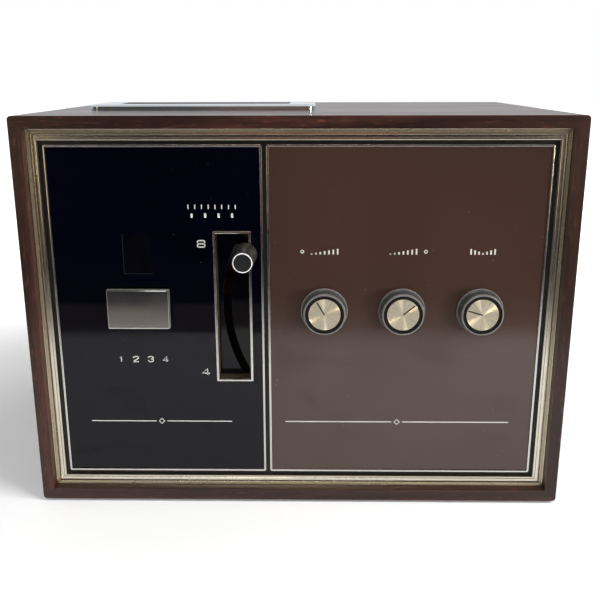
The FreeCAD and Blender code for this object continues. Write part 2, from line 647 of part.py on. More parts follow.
def selector_lever():
    y0 = Y_PANEL + LEVER_BEHIND
    y1 = y0 + LEVER_T
    x_post, x_knob = PIVOT_X - SLOT_ARC_R, PIVOT_X - knob_radius()
    arm = block(x_post, PIVOT_X, y0, y1, Z_SEL - LEVER_W / 2, Z_SEL + LEVER_W / 2)
    ends = [rod_y(PIVOT_X, Z_SEL, LEVER_HUB_R, y0, y1), rod_y(x_post, Z_SEL, LEVER_W / 2, y0, y1)]
    step1 = Y_PANEL + SEL_DEPTH - JOGGLE_GAP
    step0 = step1 - JOGGLE_T
    post = rod_y(x_post, Z_SEL, POST_R, step0, y0)
    joggle = fuse(block(x_post, x_knob, step0, step1, Z_SEL - STUB_R, Z_SEL + STUB_R),
                  rod_y(x_post, Z_SEL, POST_R, step0, step1),
                  rod_y(x_knob, Z_SEL, STUB_R, step0, step1))
    stub = rod_y(x_knob, Z_SEL, STUB_R, Y_PANEL - SEL_KNOB_GAP - SEL_KNOB_BORE, step0)
    pin = rod_y(PIVOT_X - LINK_R, Z_SEL, PIN_R, y1, y1 + LINK_PIN_L)
    bore = rod_y(PIVOT_X, Z_SEL, STUD_R + FIT, y0, y1)
    lever = fuse(arm, post, joggle, stub, pin, *ends)
    export(tilt(cut(lever, bore)), "selector_lever")


def selector_knob():
    x, back = PIVOT_X - knob_radius(), Y_PANEL - SEL_KNOB_GAP
    tip = back - SEL_KNOB_L
    cone = Part.makeCone(SEL_KNOB_R0, SEL_KNOB_R1, SEL_KNOB_L, v(x, back, Z_SEL), v(0, -1, 0))
    ring_room = cut(rod_y(x, Z_SEL, SEL_KNOB_R1 + 1, tip, tip + SEL_RING_T),
                    rod_y(x, Z_SEL, SEL_KNOB_R1 - SEL_RING_W, tip, tip + SEL_RING_T))
    bore = rod_y(x, Z_SEL, STUB_R, back - SEL_KNOB_BORE, back)
    export(tilt(cut(cone, ring_room, bore)), "selector_knob")
    ring = cut(rod_y(x, Z_SEL, SEL_KNOB_R1, tip, tip + SEL_RING_T),
               rod_y(x, Z_SEL, SEL_KNOB_R1 - SEL_RING_W, tip, tip + SEL_RING_T))
    export(tilt(ring), "selector_ring")


def z_arm():
    """Height of the roller arm's pivot: swung back, the roller just clears the capstan."""
    return Z_CAPSTAN + CAPSTAN_R + ROLLER_R + ROLLER_CLEAR


def drawbar():
    """Bar that slides up and down its post, from the lever's pin to the roller arm's crank."""
    pin_x, pin_z = polar(LINK_R, SWING / 2)
    mid_x = (pin_x + PIVOT_X - LINK_R) / 2
    half = (pin_x - (PIVOT_X - LINK_R)) / 2 + PIN_R + PIN_PLAY
    ya = Y_PANEL + LEVER_BEHIND + LEVER_T + LEVER_GAP
    crank_z = z_arm() + CRANK_R * math.sin(math.radians(45))
    strip_z = (pin_z + crank_z) / 2
    x0, x1 = mid_x - half - 3, mid_x + half + 3
    slot = block(mid_x - half, mid_x + half, ya, ya + BAR_T, pin_z - PIN_R - PIN_PLAY,
                 pin_z + PIN_R + PIN_PLAY)
    front = cut(block(x0, x1, ya, ya + BAR_T, pin_z - 5, strip_z), slot)
    y_pivot, y_end = Y0 + ARM_Y, Y_WELL - 0.4
    y_back = y_pivot + 1.0
    fork_x0, fork_x1 = crank_x() + 1.8, crank_x() + 3.8
    strip = fuse(block(x0, x1, ya, y_end, strip_z, strip_z + BAR_T),
                 block(fork_x0, x1, y_back, y_end, strip_z, strip_z + BAR_T))
    fork = cut(block(fork_x0, fork_x1, y_back, y_end, strip_z, crank_z + 4.5),
               block(fork_x0, fork_x1, y_pivot + CRANK_R * math.cos(math.radians(45))
                     - PIN_R - PIN_PLAY, y_end, crank_z - PIN_R - PIN_PLAY,
                     crank_z + PIN_R + PIN_PLAY))
    collar = rod_z(mid_x, Y0 + BAR_POST_Y, BAR_POST_R + 2.5, strip_z - 5, strip_z + BAR_T)
    bore = rod_z(mid_x, Y0 + BAR_POST_Y, BAR_POST_R + FIT, strip_z - 5, strip_z + BAR_T)
    export(cut(fuse(front, strip, fork, collar), bore), "drawbar")
    return mid_x


def bar_post_x():
    pin_x = polar(LINK_R, SWING / 2)[0]
    return (pin_x + PIVOT_X - LINK_R) / 2


def crank_x():
    """Face of the crank on the roller arm, just outside the right-hand ear."""
    return CAPSTAN_X + EAR_SPAN / 2 + EAR_T + 0.5 + CRANK_T


def roller_arm():
    y, z = Y0 + ARM_Y, z_arm()
    x0, x1 = CAPSTAN_X - EAR_SPAN / 2 - EAR_T - 0.5, crank_x()
    spindle = rod_x(y, z, ARM_R, x0, x1)
    base, top = z + ARM_REACH - ROLLER_L / 2, z + ARM_REACH + ROLLER_L / 2
    axle = rod_z(CAPSTAN_X, y, ROLLER_AXLE_R, z, top + 1.5)
    collar = rod_z(CAPSTAN_X, y, ROLLER_AXLE_R + 1.5, z, base - 0.3)
    cap = rod_z(CAPSTAN_X, y, ROLLER_AXLE_R + 1.2, top + 0.3, top + 1.5)
    crank = block(x1 - CRANK_T, x1, y, y + CRANK_R, z - CRANK_EYE_R, z + CRANK_EYE_R)
    crank = fuse(crank, rod_x(y + CRANK_R, z, CRANK_EYE_R, x1 - CRANK_T, x1),
                 rod_x(y + CRANK_R, z, PIN_R, x1, x1 + CRANK_PIN_L))
    crank = crank.rotated(v(0, y, z), v(1, 0, 0), 45)
    export(fuse(spindle, axle, collar, cap, crank), "roller_arm")
    roller = cut(rod_z(CAPSTAN_X, y, ROLLER_R, base, top),
                 rod_z(CAPSTAN_X, y, ROLLER_AXLE_R + FIT, base, top))
    export(roller, "pinch_roller")


# ---- cartridge slot -------------------------------------------------------------------------------------------
def collar_w():
    return WELL_W + 2 * COLLAR_T


def collar_d():
    return WELL_D + 2 * COLLAR_T


def door_axis():
    return Y_SLOT + WELL_D / 2 - DOOR_BARREL_R - DOOR_GAP, Z_TOP + DOOR_RAISE


def slot_bezel():
    top = Z_TOP + BEZEL_H
    plate = rounded(centred_z(SLOT_X, Y_SLOT, BEZEL_W, BEZEL_D, Z_TOP, top), BEZEL_R, v(0, 0, 1))
    crown = [e for e in plate.Edges if e.CenterOfMass.z > top - 1e-6]
    plate = plate.makeChamfer(BEZEL_BEVEL, crown)
    collar = centred_z(SLOT_X, Y_SLOT, collar_w(), collar_d(), Z_CEIL, Z_TOP)
    opening = centred_z(SLOT_X, Y_SLOT, WELL_W, WELL_D, Z_CEIL, top)
    y, z = door_axis()
    pin = rod_x(y, z, DOOR_PIN_R + FIT, SLOT_X - WELL_W / 2 - DOOR_PIN_IN - 0.5,
                SLOT_X + WELL_W / 2 + DOOR_PIN_IN + 0.5)
    export(cut(fuse(plate, collar), opening, pin), "slot_bezel")


def cartridge_door():
    y, z = door_axis()
    x0, x1 = SLOT_X - WELL_W / 2 + DOOR_GAP, SLOT_X + WELL_W / 2 - DOOR_GAP
    flap = block(x0, x1, Y_SLOT - WELL_D / 2 + DOOR_GAP, y, z - DOOR_T / 2, z + DOOR_T / 2)
    barrel = rod_x(y, z, DOOR_BARREL_R, x0, x1)
    pin = rod_x(y, z, DOOR_PIN_R, SLOT_X - WELL_W / 2 - DOOR_PIN_IN,
                SLOT_X + WELL_W / 2 + DOOR_PIN_IN)
    export(fuse(flap, barrel, pin), "cartridge_door")


def cartridge_well():
    """Sheet duct hung under the top board, with stops, roller window and pivot ears."""
    w, d = WELL_W + 2 * WELL_T, WELL_D + 2 * WELL_T
    duct = centred_z(SLOT_X, Y_SLOT, w, d, Z_WELL, Z_CEIL)
    flanges = centred_z(SLOT_X, Y_SLOT, w + 2 * WELL_FLANGE, d, Z_CEIL - WELL_T, Z_CEIL)
    x0, x1 = SLOT_X - WELL_W / 2, SLOT_X + WELL_W / 2
    y0, y1 = Y_SLOT - WELL_D / 2, Y_SLOT + WELL_D / 2
    inside = block(x0, x1, y0, y1, Z_WELL, Z_CEIL)
    stops = [block(x0, x0 + WELL_STOP, y0, y1, Z_WELL, Z_WELL + WELL_T),
             block(x1 - WELL_STOP, x1, y0, y1, Z_WELL, Z_WELL + WELL_T)]
    y, z = Y0 + ARM_Y, z_arm()
    window = block(CAPSTAN_X - ROLLER_R - 1.5, CAPSTAN_X + ROLLER_R + 1.5, Y_WELL - 1, y0,
                   Z_WELL, z + ARM_REACH + ROLLER_L / 2 + 3)
    ears = []
    for side in (-1, 1):
        x = CAPSTAN_X + side * (EAR_SPAN + EAR_T) / 2
        ear = block(x - EAR_T / 2, x + EAR_T / 2, y - ARM_R - 2.5, y0, z - 5.5, z + 5.5)
        ears.append(cut(ear, rod_x(y, z, ARM_R + FIT, x - EAR_T, x + EAR_T)))
    bosses = [rod_y(x, z_b, 3, y1, Y_DECK) for x in (x0 + 10, x1 - 10)
              for z_b in (Z_WELL + 12, Z_WELL + 36)]
    detent = block(x0 - WELL_T - 1, x0, Y_SLOT - 6, Y_SLOT + 6, z_detent() - 8, z_detent() + 8)
    hinge_x, hinge_z = detent_pivot()
    lugs = []
    for side in (-1, 1):
        y_l = Y_SLOT + side * 7
        lug = block(hinge_x - 4, x0, y_l - 0.8, y_l + 0.8, hinge_z - 4, hinge_z + 4)
        lugs.append(cut(lug, rod_y(hinge_x, hinge_z, DETENT_PIN_R + FIT, y_l - 1, y_l + 1)))
    well = cut(fuse(duct, flanges), inside, window, detent)
    export(fuse(well, *(stops + ears + bosses + lugs)), "cartridge_well")


def z_detent():
    return Z_WELL + DETENT_UP


def detent_pivot():
    return SLOT_X - WELL_W / 2 - WELL_T - DETENT_OUT, z_detent() + DETENT_ARM


def hold_lever():
    """Sprung arm whose roller drops into the notch in the cartridge's edge."""
    x, z = detent_pivot()
    pin = rod_y(x, z, DETENT_PIN_R, Y_SLOT - DETENT_PIN_L / 2, Y_SLOT + DETENT_PIN_L / 2)
    front, half = Y_SLOT - DETENT_W / 2, DETENT_BAR / 2
    hub = rod_y(x, z, DETENT_HUB_R, front, front + DETENT_W)
    low, y1 = z_detent() - DETENT_T, front + DETENT_T
    arm = block(x - half, x + half, front, y1, low, z)
    roller_x = SLOT_X - WELL_W / 2 + DETENT_POKE - DETENT_R
    foot = block(x - half, roller_x + half, front, y1, low, z_detent() + DETENT_T)
    roller = rod_y(roller_x, z_detent(), DETENT_R, y1, y1 + DETENT_ROLLER_L)
    export(fuse(pin, hub, arm, foot, roller), "hold_lever")


# ---- tape drive ---------------------------------------------------------------------------------------------------
def fly_y():
    return Y_DECK + DECK_T + BEARING_L + FLY_GAP


def pulley_y():
    return fly_y() + (FLY_T - PULLEY_T) / 2


def deck_plate():
    """Upright plate with its foot, capstan bearing, head rods and cam ears."""
    y1 = Y_DECK + DECK_T
    plate = block(DECK_X0, DECK_X1, Y_DECK, y1, Z_CHASSIS, Z0 + DECK_TOP)
    foot = block(DECK_X0, DECK_X1, Y_DECK - DECK_FOOT, y1, Z_CHASSIS, Z_CHASSIS + DECK_T)
    bearing = rod_y(CAPSTAN_X, Z_CAPSTAN, BEARING_R, Y_DECK, y1 + BEARING_L)
    rods = [rod_y(SLOT_X + s * HEAD_ROD_X, Z0 + HEAD_ROD_Z, HEAD_ROD_R,
                  Y_SLOT - HEAD_ROD_L, Y_DECK) for s in (-1, 1)]
    ears = []
    for x in (CAM_X - CAM_T / 2 - CAM_GAP - EAR_T, ratchet_x() + RATCHET_T + CAM_GAP):
        ear = block(x, x + EAR_T, cam_y() - 5, Y_DECK, cam_z() - 5, cam_z() + 5)
        ears.append(cut(ear, rod_x(cam_y(), cam_z(), CAM_SHAFT_R + FIT, x, x + EAR_T)))
    holes = [rod_y(CAPSTAN_X, Z_CAPSTAN, CAPSTAN_R + FIT, Y_DECK, y1 + BEARING_L),
             rod_y(MOTOR_X, MOTOR_Z + Z0, MOTOR_SHAFT_R + 3, Y_DECK, y1)]
    export(cut(fuse(plate, foot, bearing, *(rods + ears)), *holes), "deck_plate")


def motor():
    z = Z0 + MOTOR_Z
    can = rod_y(MOTOR_X, z, MOTOR_R, Y_DECK - MOTOR_L, Y_DECK)
    flange = centred(MOTOR_X, z, 2 * MOTOR_R + 12, 14, Y_DECK - 1.5, Y_DECK)
    bore = rod_y(MOTOR_X, z, MOTOR_SHAFT_R + FIT, Y_DECK - MOTOR_GRIP, Y_DECK)
    export(cut(fuse(can, flange), bore), "motor")
    y = pulley_y()
    shaft = rod_y(MOTOR_X, z, MOTOR_SHAFT_R, Y_DECK - MOTOR_GRIP + FIT, y + PULLEY_T)
    hub = rod_y(MOTOR_X, z, PULLEY_R, y, y + PULLEY_T)
    flanges = [rod_y(MOTOR_X, z, PULLEY_R + 2, y0, y0 + 1) for y0 in (y, y + PULLEY_T - 1)]
    export(fuse(shaft, hub, *flanges), "motor_pulley")


def loop_round(extra, y0, y1):
    """Hull of the two pulleys, each grown by extra."""
    zm = Z0 + MOTOR_Z
    dx, dz = CAPSTAN_X - MOTOR_X, Z_CAPSTAN - zm
    span, lean = math.hypot(dx, dz), math.atan2(dz, dx)
    small, big = PULLEY_R + extra, FLY_R + extra
    turn = math.acos((small - big) / span)
    points = []
    for x, z, r, sides in ((MOTOR_X, zm, small, (1, -1)),
                           (CAPSTAN_X, Z_CAPSTAN, big, (-1, 1))):
        for s in sides:
            a = lean + s * turn
            points.append(v(x + r * math.cos(a), y0, z + r * math.sin(a)))
    return fuse(rod_y(MOTOR_X, zm, small, y0, y1), rod_y(CAPSTAN_X, Z_CAPSTAN, big, y0, y1),
                prism(points, v(0, y1 - y0, 0)))


def belt():
    y0 = fly_y() + (FLY_T - BELT_W) / 2
    outer = loop_round(BELT_GAP + BELT_T, y0, y0 + BELT_W)
    export(cut(outer, loop_round(BELT_GAP, y0, y0 + BELT_W)), "drive_belt")


def flywheel():
    """Wheel with a lightened web, pressed on the capstan shaft."""
    y0 = fly_y()
    wheel = rod_y(CAPSTAN_X, Z_CAPSTAN, FLY_R, y0, y0 + FLY_T)
    dish = cut(rod_y(CAPSTAN_X, Z_CAPSTAN, FLY_R - FLY_RIM, y0 + FLY_WEB, y0 + FLY_T),
               rod_y(CAPSTAN_X, Z_CAPSTAN, FLY_HUB_R, y0 + FLY_WEB, y0 + FLY_T))
    capstan = rod_y(CAPSTAN_X, Z_CAPSTAN, CAPSTAN_R, Y_SLOT - CART_T / 2, y0 + FLY_T)
    export(fuse(cut(wheel, dish), capstan), "flywheel")


def head():
    """Carriage on two rods with the playback head on top and the cam follower below."""
    z = Z0 + HEAD_ROD_Z
    y0, y1 = Y_SLOT - HEAD_D / 2, Y_SLOT + HEAD_D / 2
    base = block(SLOT_X - HEAD_ROD_X - 6, SLOT_X + HEAD_ROD_X + 6, y0, y1, z - 4, z + 4)
    tail = block(CAM_X - CAM_T / 2, CAM_X + CAM_T / 2, y0, follower_y(), cam_z() - 3, z)
    bores = [rod_y(SLOT_X + s * HEAD_ROD_X, z, HEAD_ROD_R + FIT, y0, y1) for s in (-1, 1)]
    export(cut(fuse(base, tail), *bores), "head_carriage")
    top = Z_WELL + HEAD_POKE
    body = block(SLOT_X - HEAD_W / 2, SLOT_X + HEAD_W / 2, y0 + 1, y1 - 1, z + 4, top - HEAD_CROWN)
    crown = rod_y(SLOT_X, top - HEAD_CROWN, HEAD_CROWN, y0 + 1, y1 - 1)
    export(fuse(body, crown), "playback_head")


def follower_y():
    return Y_SLOT - HEAD_D / 2 + 2.5


def cam_y():
    return follower_y() + CAM_GAP + CAM_R0


def cam_z():
    return Z0 + HEAD_ROD_Z - CAM_DROP


def ratchet_x():
    return CAM_X + CAM_T / 2 + 2


def track_cam():
    """Spiral cam that steps the head across the tape, with its ratchet wheel."""
    def on_cam(angle):
        radius = CAM_R0 + HEAD_STEP * angle / 90
        a = math.radians(180 + angle)
        return v(CAM_X - CAM_T / 2, cam_y() + radius * math.cos(a), cam_z() + radius * math.sin(a))
    spiral = Part.BSplineCurve()
    spiral.interpolate([on_cam(a) for a in range(CAM_FROM, CAM_TO + 1, 15)])
    drop = Part.LineSegment(on_cam(CAM_TO), on_cam(CAM_FROM))
    face = Part.Face(Part.Wire([spiral.toShape(), drop.toShape()]))
    disc = face.extrude(v(CAM_T, 0, 0))
    x = ratchet_x()
    teeth = []
    for i in range(RATCHET_N):
        a0, a1 = (math.radians(360 * k / RATCHET_N) for k in (i, i + 1))
        for r, a in ((RATCHET_R, a0), (RATCHET_R - 1.8, a1)):
            teeth.append(v(x, cam_y() + r * math.cos(a), cam_z() + r * math.sin(a)))
    wheel = prism(teeth, v(RATCHET_T, 0, 0))
    end = RATCHET_T + CAM_GAP + EAR_T + 0.5
    shaft = rod_x(cam_y(), cam_z(), CAM_SHAFT_R, CAM_X - CAM_T / 2 - CAM_GAP - EAR_T - 0.5, x + end)
    export(fuse(disc, wheel, shaft), "track_cam")


def solenoid():
    """Coil and frame on the deck; its plunger lifts the pawl beside the ratchet wheel."""
    x, y = ratchet_x() + RATCHET_T / 2, cam_y() - RATCHET_R - PAWL_RUN
    top = cam_z() - SOLENOID_DOWN
    frame = block(x - SOLENOID_W / 2, x + SOLENOID_W / 2, y - SOLENOID_FRONT, Y_DECK,
                  top - SOLENOID_H, top)
    bore = rod_z(x, y, PLUNGER_R + FIT, top - PLUNGER_IN - 1, top)
    export(cut(frame, bore), "solenoid")
    rod = rod_z(x, y, PLUNGER_R, top - PLUNGER_IN, top + 2)
    pawl = block(x - RATCHET_T / 2, x + RATCHET_T / 2, y, y + PAWL_T, top, cam_z() + 1)
    export(fuse(rod, pawl), "solenoid_plunger")


# ---- chassis and electronics -----------------------------------------------------------------------------------------
def chassis():
    y0, y1 = Y_CHASSIS, Y_CHASSIS_BACK
    tray = block(-CHASSIS_HALF, CHASSIS_HALF, y0, y1, Z_FLOOR, Z_CHASSIS)
    lips = [block(x, x + CHASSIS_T, y0, y1, Z_FLOOR, Z_CHASSIS + CHASSIS_LIP)
            for x in (-CHASSIS_HALF, CHASSIS_HALF - CHASSIS_T)]
    post = rod_z(bar_post_x(), Y0 + BAR_POST_Y, BAR_POST_R, Z_FLOOR, Z_SEL + BAR_POST_TOP)
    pillars = [rod_z(x, y, 3, Z_FLOOR, Z_CHASSIS + PCB_RAISE) for x, y in pillar_places()]
    holes = [rod_z(x, y, SCREW_R, Z_FLOOR, Z_CHASSIS) for x, y in chassis_screw_places()]
    export(cut(fuse(tray, post, *(lips + pillars)), *holes), "chassis")


def pillar_places():
    return [(BOARD_X + sx * (BOARD_W / 2 - 5), Y0 + BOARD_Y + sy * (BOARD_D / 2 - 5))
            for sx in (-1, 1) for sy in (-1, 1)]


def transformer():
    x, y, z = CORE_X, Y0 + CORE_Y, Z_CHASSIS
    core = centred_z(x, y, CORE_W, CORE_D, z, z + CORE_H)
    limb = CORE_W / 6
    windows = [centred_z(x + s * 1.5 * limb, y, limb, CORE_D, z + limb, z + CORE_H - limb)
               for s in (-1, 1)]
    export(cut(core, *windows), "transformer_core")
    coil = centred_z(x, y, CORE_W - 2 * limb - 1, CORE_D + 14, z + limb + 0.5, z + CORE_H - limb - 0.5)
    room = centred_z(x, y, 2 * limb, CORE_D, z, z + CORE_H)
    export(cut(coil, room), "transformer_coil")


def amplifier():
    z = Z_CHASSIS + PCB_RAISE
    y = Y0 + BOARD_Y
    export(centred_z(BOARD_X, y, BOARD_W, BOARD_D, z, z + PCB_T), "amplifier_board")
    top = z + PCB_T
    parts = []
    for i in range(CAP_N):
        x = BOARD_X - BOARD_W / 2 + 14 + i * CAP_PITCH
        parts.append(rod_z(x, y + BOARD_D / 2 - 16, CAP_R, top, top + CAP_H))
    for i in range(TRANSISTOR_N):
        x = BOARD_X - BOARD_W / 2 + 10 + i * TRANSISTOR_PITCH
        parts.append(rod_z(x, y, 4, top, top + 6))
    for side in (-1, 1):
        x = BOARD_X + side * BOARD_W / 4
        fins = [centred_z(x + i * 5, y - BOARD_D / 2 + 16, 1.5, 24, top + 2, top + 24)
                for i in (-2, -1, 0, 1, 2)]
        parts.append(fuse(centred_z(x, y - BOARD_D / 2 + 16, 24, 24, top, top + 2), *fins))
    export(group(parts), "board_components")


for build in (cabinet, corner_blocks, back_panel, screws, feet, rear_connectors, trim, front,
              indicator, channel_button, rotary_controls, selector_housing, selector_bracket,
              selector_lever, selector_knob, drawbar, roller_arm, slot_bezel, cartridge_door,
              cartridge_well, hold_lever, deck_plate, motor, belt, flywheel, head, track_cam,
              solenoid, chassis, transformer, amplifier):
    build()
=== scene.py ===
"""Looks of the table-top cartridge player: finishes, fine detail, camera, light and floor."""
import math

import bmesh
import bpy
from mathutils import Matrix, Vector

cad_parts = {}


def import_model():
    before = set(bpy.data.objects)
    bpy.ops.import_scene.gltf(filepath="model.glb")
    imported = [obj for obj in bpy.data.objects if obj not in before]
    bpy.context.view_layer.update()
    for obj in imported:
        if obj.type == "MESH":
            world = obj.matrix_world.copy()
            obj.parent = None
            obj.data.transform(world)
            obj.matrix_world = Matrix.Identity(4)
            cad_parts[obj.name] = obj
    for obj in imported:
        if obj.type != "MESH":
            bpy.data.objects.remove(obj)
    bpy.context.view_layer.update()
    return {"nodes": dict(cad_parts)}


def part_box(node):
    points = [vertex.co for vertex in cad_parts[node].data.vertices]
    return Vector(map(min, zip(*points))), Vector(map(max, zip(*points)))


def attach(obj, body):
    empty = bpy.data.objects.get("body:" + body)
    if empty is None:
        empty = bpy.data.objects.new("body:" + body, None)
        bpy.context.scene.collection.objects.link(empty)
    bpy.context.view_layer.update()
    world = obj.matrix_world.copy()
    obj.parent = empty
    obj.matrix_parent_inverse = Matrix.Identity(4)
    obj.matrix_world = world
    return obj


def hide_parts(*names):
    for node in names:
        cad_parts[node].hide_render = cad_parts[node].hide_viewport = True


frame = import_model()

MM = 0.001
ROOT = "player"


# ---- places taken from the frame -------------------------------------------------------------
def span(node):
    """x0, x1, y0, y1, z0, z1 of a node."""
    low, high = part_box(node)
    return low.x, high.x, low.y, high.y, low.z, high.z


PANEL_FRONT = span("indicator_lens")[2]          # face of the control panels
PLATE_FRONT = span("front_plate")[2]
KNOBS = ("volume_left", "volume_right", "tone")


# ---- colour and node helpers -----------------------------------------------------------------
def srgb(r, g, b):
    """Linear colour from 0-255 screen values."""
    def lin(c):
        c /= 255
        return c / 12.92 if c <= 0.04045 else ((c + 0.055) / 1.055) ** 2.4
    return lin(r), lin(g), lin(b), 1.0


def shade(colour, factor):
    """The colour, lighter or darker by a factor."""
    return tuple(c * factor for c in colour[:3]) + (1.0,)


def grey(value):
    """Linear grey."""
    return value, value, value, 1.0


MIX_A, MIX_B, MIX_RESULT = 6, 7, 2       # colour sockets of the mix node


class Nodes:
    """Small wrapper that adds nodes to a material and links them."""
    def __init__(self, name):
        self.mat = bpy.data.materials.new(name)
        self.mat.use_nodes = True
        self.tree = self.mat.node_tree
        self.bsdf = self.tree.nodes["Principled BSDF"]
        self.coords = self.add("ShaderNodeTexCoord").outputs["Object"]

    def add(self, kind, **values):
        node = self.tree.nodes.new(kind)
        for key, value in values.items():
            if key in node.inputs:
                node.inputs[key].default_value = value
            else:
                setattr(node, key, value)
        return node

    def link(self, out, into):
        self.tree.links.new(out, into)

    def set(self, **values):
        """Plain values of the shader; an underscore stands for a space."""
        for key, value in values.items():
            self.bsdf.inputs[key.replace("_", " ")].default_value = value

    def scaled(self, x, y, z):
        """Object coordinates stretched along each axis."""
        node = self.add("ShaderNodeMapping")
        node.inputs["Scale"].default_value = (x, y, z)
        self.link(self.coords, node.inputs["Vector"])
        return node.outputs["Vector"]

    def grain(self, along, long, cross):
        """Coordinates for a grain along one axis: repeats per metre along and across it."""
        scale = [cross, cross, cross]
        scale[along] = long
        return self.scaled(*scale)

    def noise(self, vector, scale, detail, rough=0.5, distort=0.0):
        node = self.add("ShaderNodeTexNoise", Scale=scale, Detail=detail, Roughness=rough,
                        Distortion=distort)
        self.link(vector, node.inputs["Vector"])
        return node.outputs["Fac"]

    def ramp(self, fac, *stops):
        """Colour ramp through (position, colour) stops."""
        node = self.add("ShaderNodeValToRGB")
        elements = node.color_ramp.elements
        while len(elements) < len(stops):
            elements.new(0.5)
        for element, (place, colour) in zip(elements, stops):
            element.position, element.color = place, colour
        self.link(fac, node.inputs["Fac"])
        return node.outputs["Color"]

    def between(self, fac, low, high, a=0.0, b=1.0):
        """Maps low..high of fac to a..b, clamped."""
        node = self.add("ShaderNodeMapRange")
        for key, value in (("From Min", low), ("From Max", high), ("To Min", a), ("To Max", b)):
            node.inputs[key].default_value = value
        self.link(fac, node.inputs["Value"])
        return node.outputs["Result"]

    def mix(self, fac, a, b):
        """Mixes two colours; each argument is a value or an output."""
        node = self.add("ShaderNodeMix", data_type="RGBA")
        sockets = node.inputs["Factor"], node.inputs[MIX_A], node.inputs[MIX_B]
        for socket, value in zip(sockets, (fac, a, b)):
            if isinstance(value, bpy.types.NodeSocket):
                self.link(value, socket)
            else:
                socket.default_value = value
        return node.outputs[MIX_RESULT]

    def bump(self, height, distance, strength):
        node = self.add("ShaderNodeBump", Strength=strength, Distance=distance)
        self.link(height, node.inputs["Height"])
        self.link(node.outputs["Normal"], self.bsdf.inputs["Normal"])

    def colour(self, out):
        self.link(out, self.bsdf.inputs["Base Color"])

    def roughness(self, out):
        self.link(out, self.bsdf.inputs["Roughness"])

    def surface(self, shader):
        """Puts another shader in the place of the principled one."""
        self.link(shader.outputs[0], self.tree.nodes["Material Output"].inputs["Surface"])


# ---- materials -------------------------------------------------------------------------------
def walnut(name, along):
    """Dark red-brown veneer: fine streaks and open pores run along one axis."""
    n = Nodes(name)
    bands = n.noise(n.grain(along, 5, 60), 1.0, 4.0, 0.6, 0.8)
    streaks = n.noise(n.grain(along, 22, 420), 1.0, 3.0, 0.6, 0.3)
    pores = n.noise(n.grain(along, 140, 1300), 1.0, 2.0, 0.5)
    glints = n.noise(n.grain(along, 130, 620), 1.0, 3.0, 0.6, 0.4)
    tone = n.ramp(bands, (0.34, srgb(31, 13, 10)), (0.52, srgb(45, 21, 15)),
                  (0.68, srgb(71, 34, 25)))
    tone = n.mix(n.between(streaks, 0.46, 0.64, 0.0, 0.6), tone, srgb(30, 14, 11))
    tone = n.mix(n.between(glints, 0.58, 0.74, 0.0, 0.42), tone, srgb(126, 70, 46))
    pore = n.between(pores, 0.60, 0.70)
    n.colour(n.mix(n.between(pore, 0, 1, 0.0, 0.7), tone, srgb(16, 8, 7)))
    n.roughness(n.between(bands, 0.3, 0.7, 0.30, 0.42))
    n.bump(pore, 0.04 * MM, 0.6)
    n.set(Coat_Weight=0.20, Coat_Roughness=0.12, Specular_IOR_Level=0.42)
    return n.mat


def plain_wood(name, light, dark, along):
    n = Nodes(name)
    n.colour(n.ramp(n.noise(n.grain(along, 8, 300), 1.0, 4.0), (0.35, dark), (0.65, light)))
    n.set(Roughness=0.75)
    return n.mat


def enamel(name, colour, rough, flecks, gloss):
    """Sprayed panel with a faint orange peel, wiping marks and a few dust flecks; flecks is
    how strongly the dust shows and gloss how strongly the panel mirrors the room."""
    n = Nodes(name)
    smear = n.noise(n.scaled(14, 14, 38), 1.0, 5.0, 0.6, 0.8)
    clouds = n.noise(n.scaled(9, 9, 6), 1.0, 3.0, 0.5, 0.5)
    base = n.mix(n.between(clouds, 0.35, 0.65), shade(colour, 0.88), shade(colour, 1.12))
    speck = n.between(n.noise(n.coords, 700, 1.0, 0.4), 0.785, 0.83)
    dust = srgb(150, 132, 116)
    n.colour(n.mix(n.between(speck, 0, 1, 0, flecks), base, dust))
    n.roughness(n.between(smear, 0.35, 0.7, rough, rough + 0.05))
    n.bump(n.noise(n.coords, 260, 2.0), 0.01 * MM, 0.25)
    wiped = n.between(n.noise(n.scaled(26, 26, 48), 1.0, 3.0, 0.55, 0.6), 0.54, 0.70)
    n.link(n.between(wiped, 0, 1, gloss, 0.80 * gloss), n.bsdf.inputs["Specular IOR Level"])
    return n.mat


def bright_metal(name, colour, rough, worn=0.0, metal=1.0):
    """Polished or plated metal with soft smears; worn adds dull spots, and a metal value below 1
    makes it partly unmetallic."""
    n = Nodes(name)
    patches = n.noise(n.coords, 55, 4.0, 0.6, 0.4)
    spots = n.between(n.noise(n.coords, 620, 2.0), 0.66, 0.74)
    dull = shade(colour, 0.35)
    base = n.mix(n.between(patches, 0.35, 0.75, 0.0, 0.35 * worn), colour, dull)
    n.colour(n.mix(n.between(spots, 0, 1, 0, 0.8 * worn), base, dull))
    n.roughness(n.between(patches, 0.3, 0.75, rough, rough + 0.12))
    n.set(Metallic=metal)
    return n.mat


def drawn_metal(name, colour, rough, blur, tarnish, wave=0.0):
    """Smooth metal, tarnished in long soft patches; blur is the roughness that the patches
    add and wave makes the face uneven."""
    n = Nodes(name)
    patches = n.noise(n.coords, 38, 3.0, 0.5, 0.3)
    dull = shade(colour, 0.62)
    n.colour(n.mix(n.between(patches, 0.35, 0.75, 0.0, tarnish), colour, dull))
    n.roughness(n.between(patches, 0.3, 0.75, rough, rough + blur))
    n.bump(n.noise(n.coords, 160, 2.0), 0.04 * MM, wave)
    n.set(Metallic=1.0)
    return n.mat


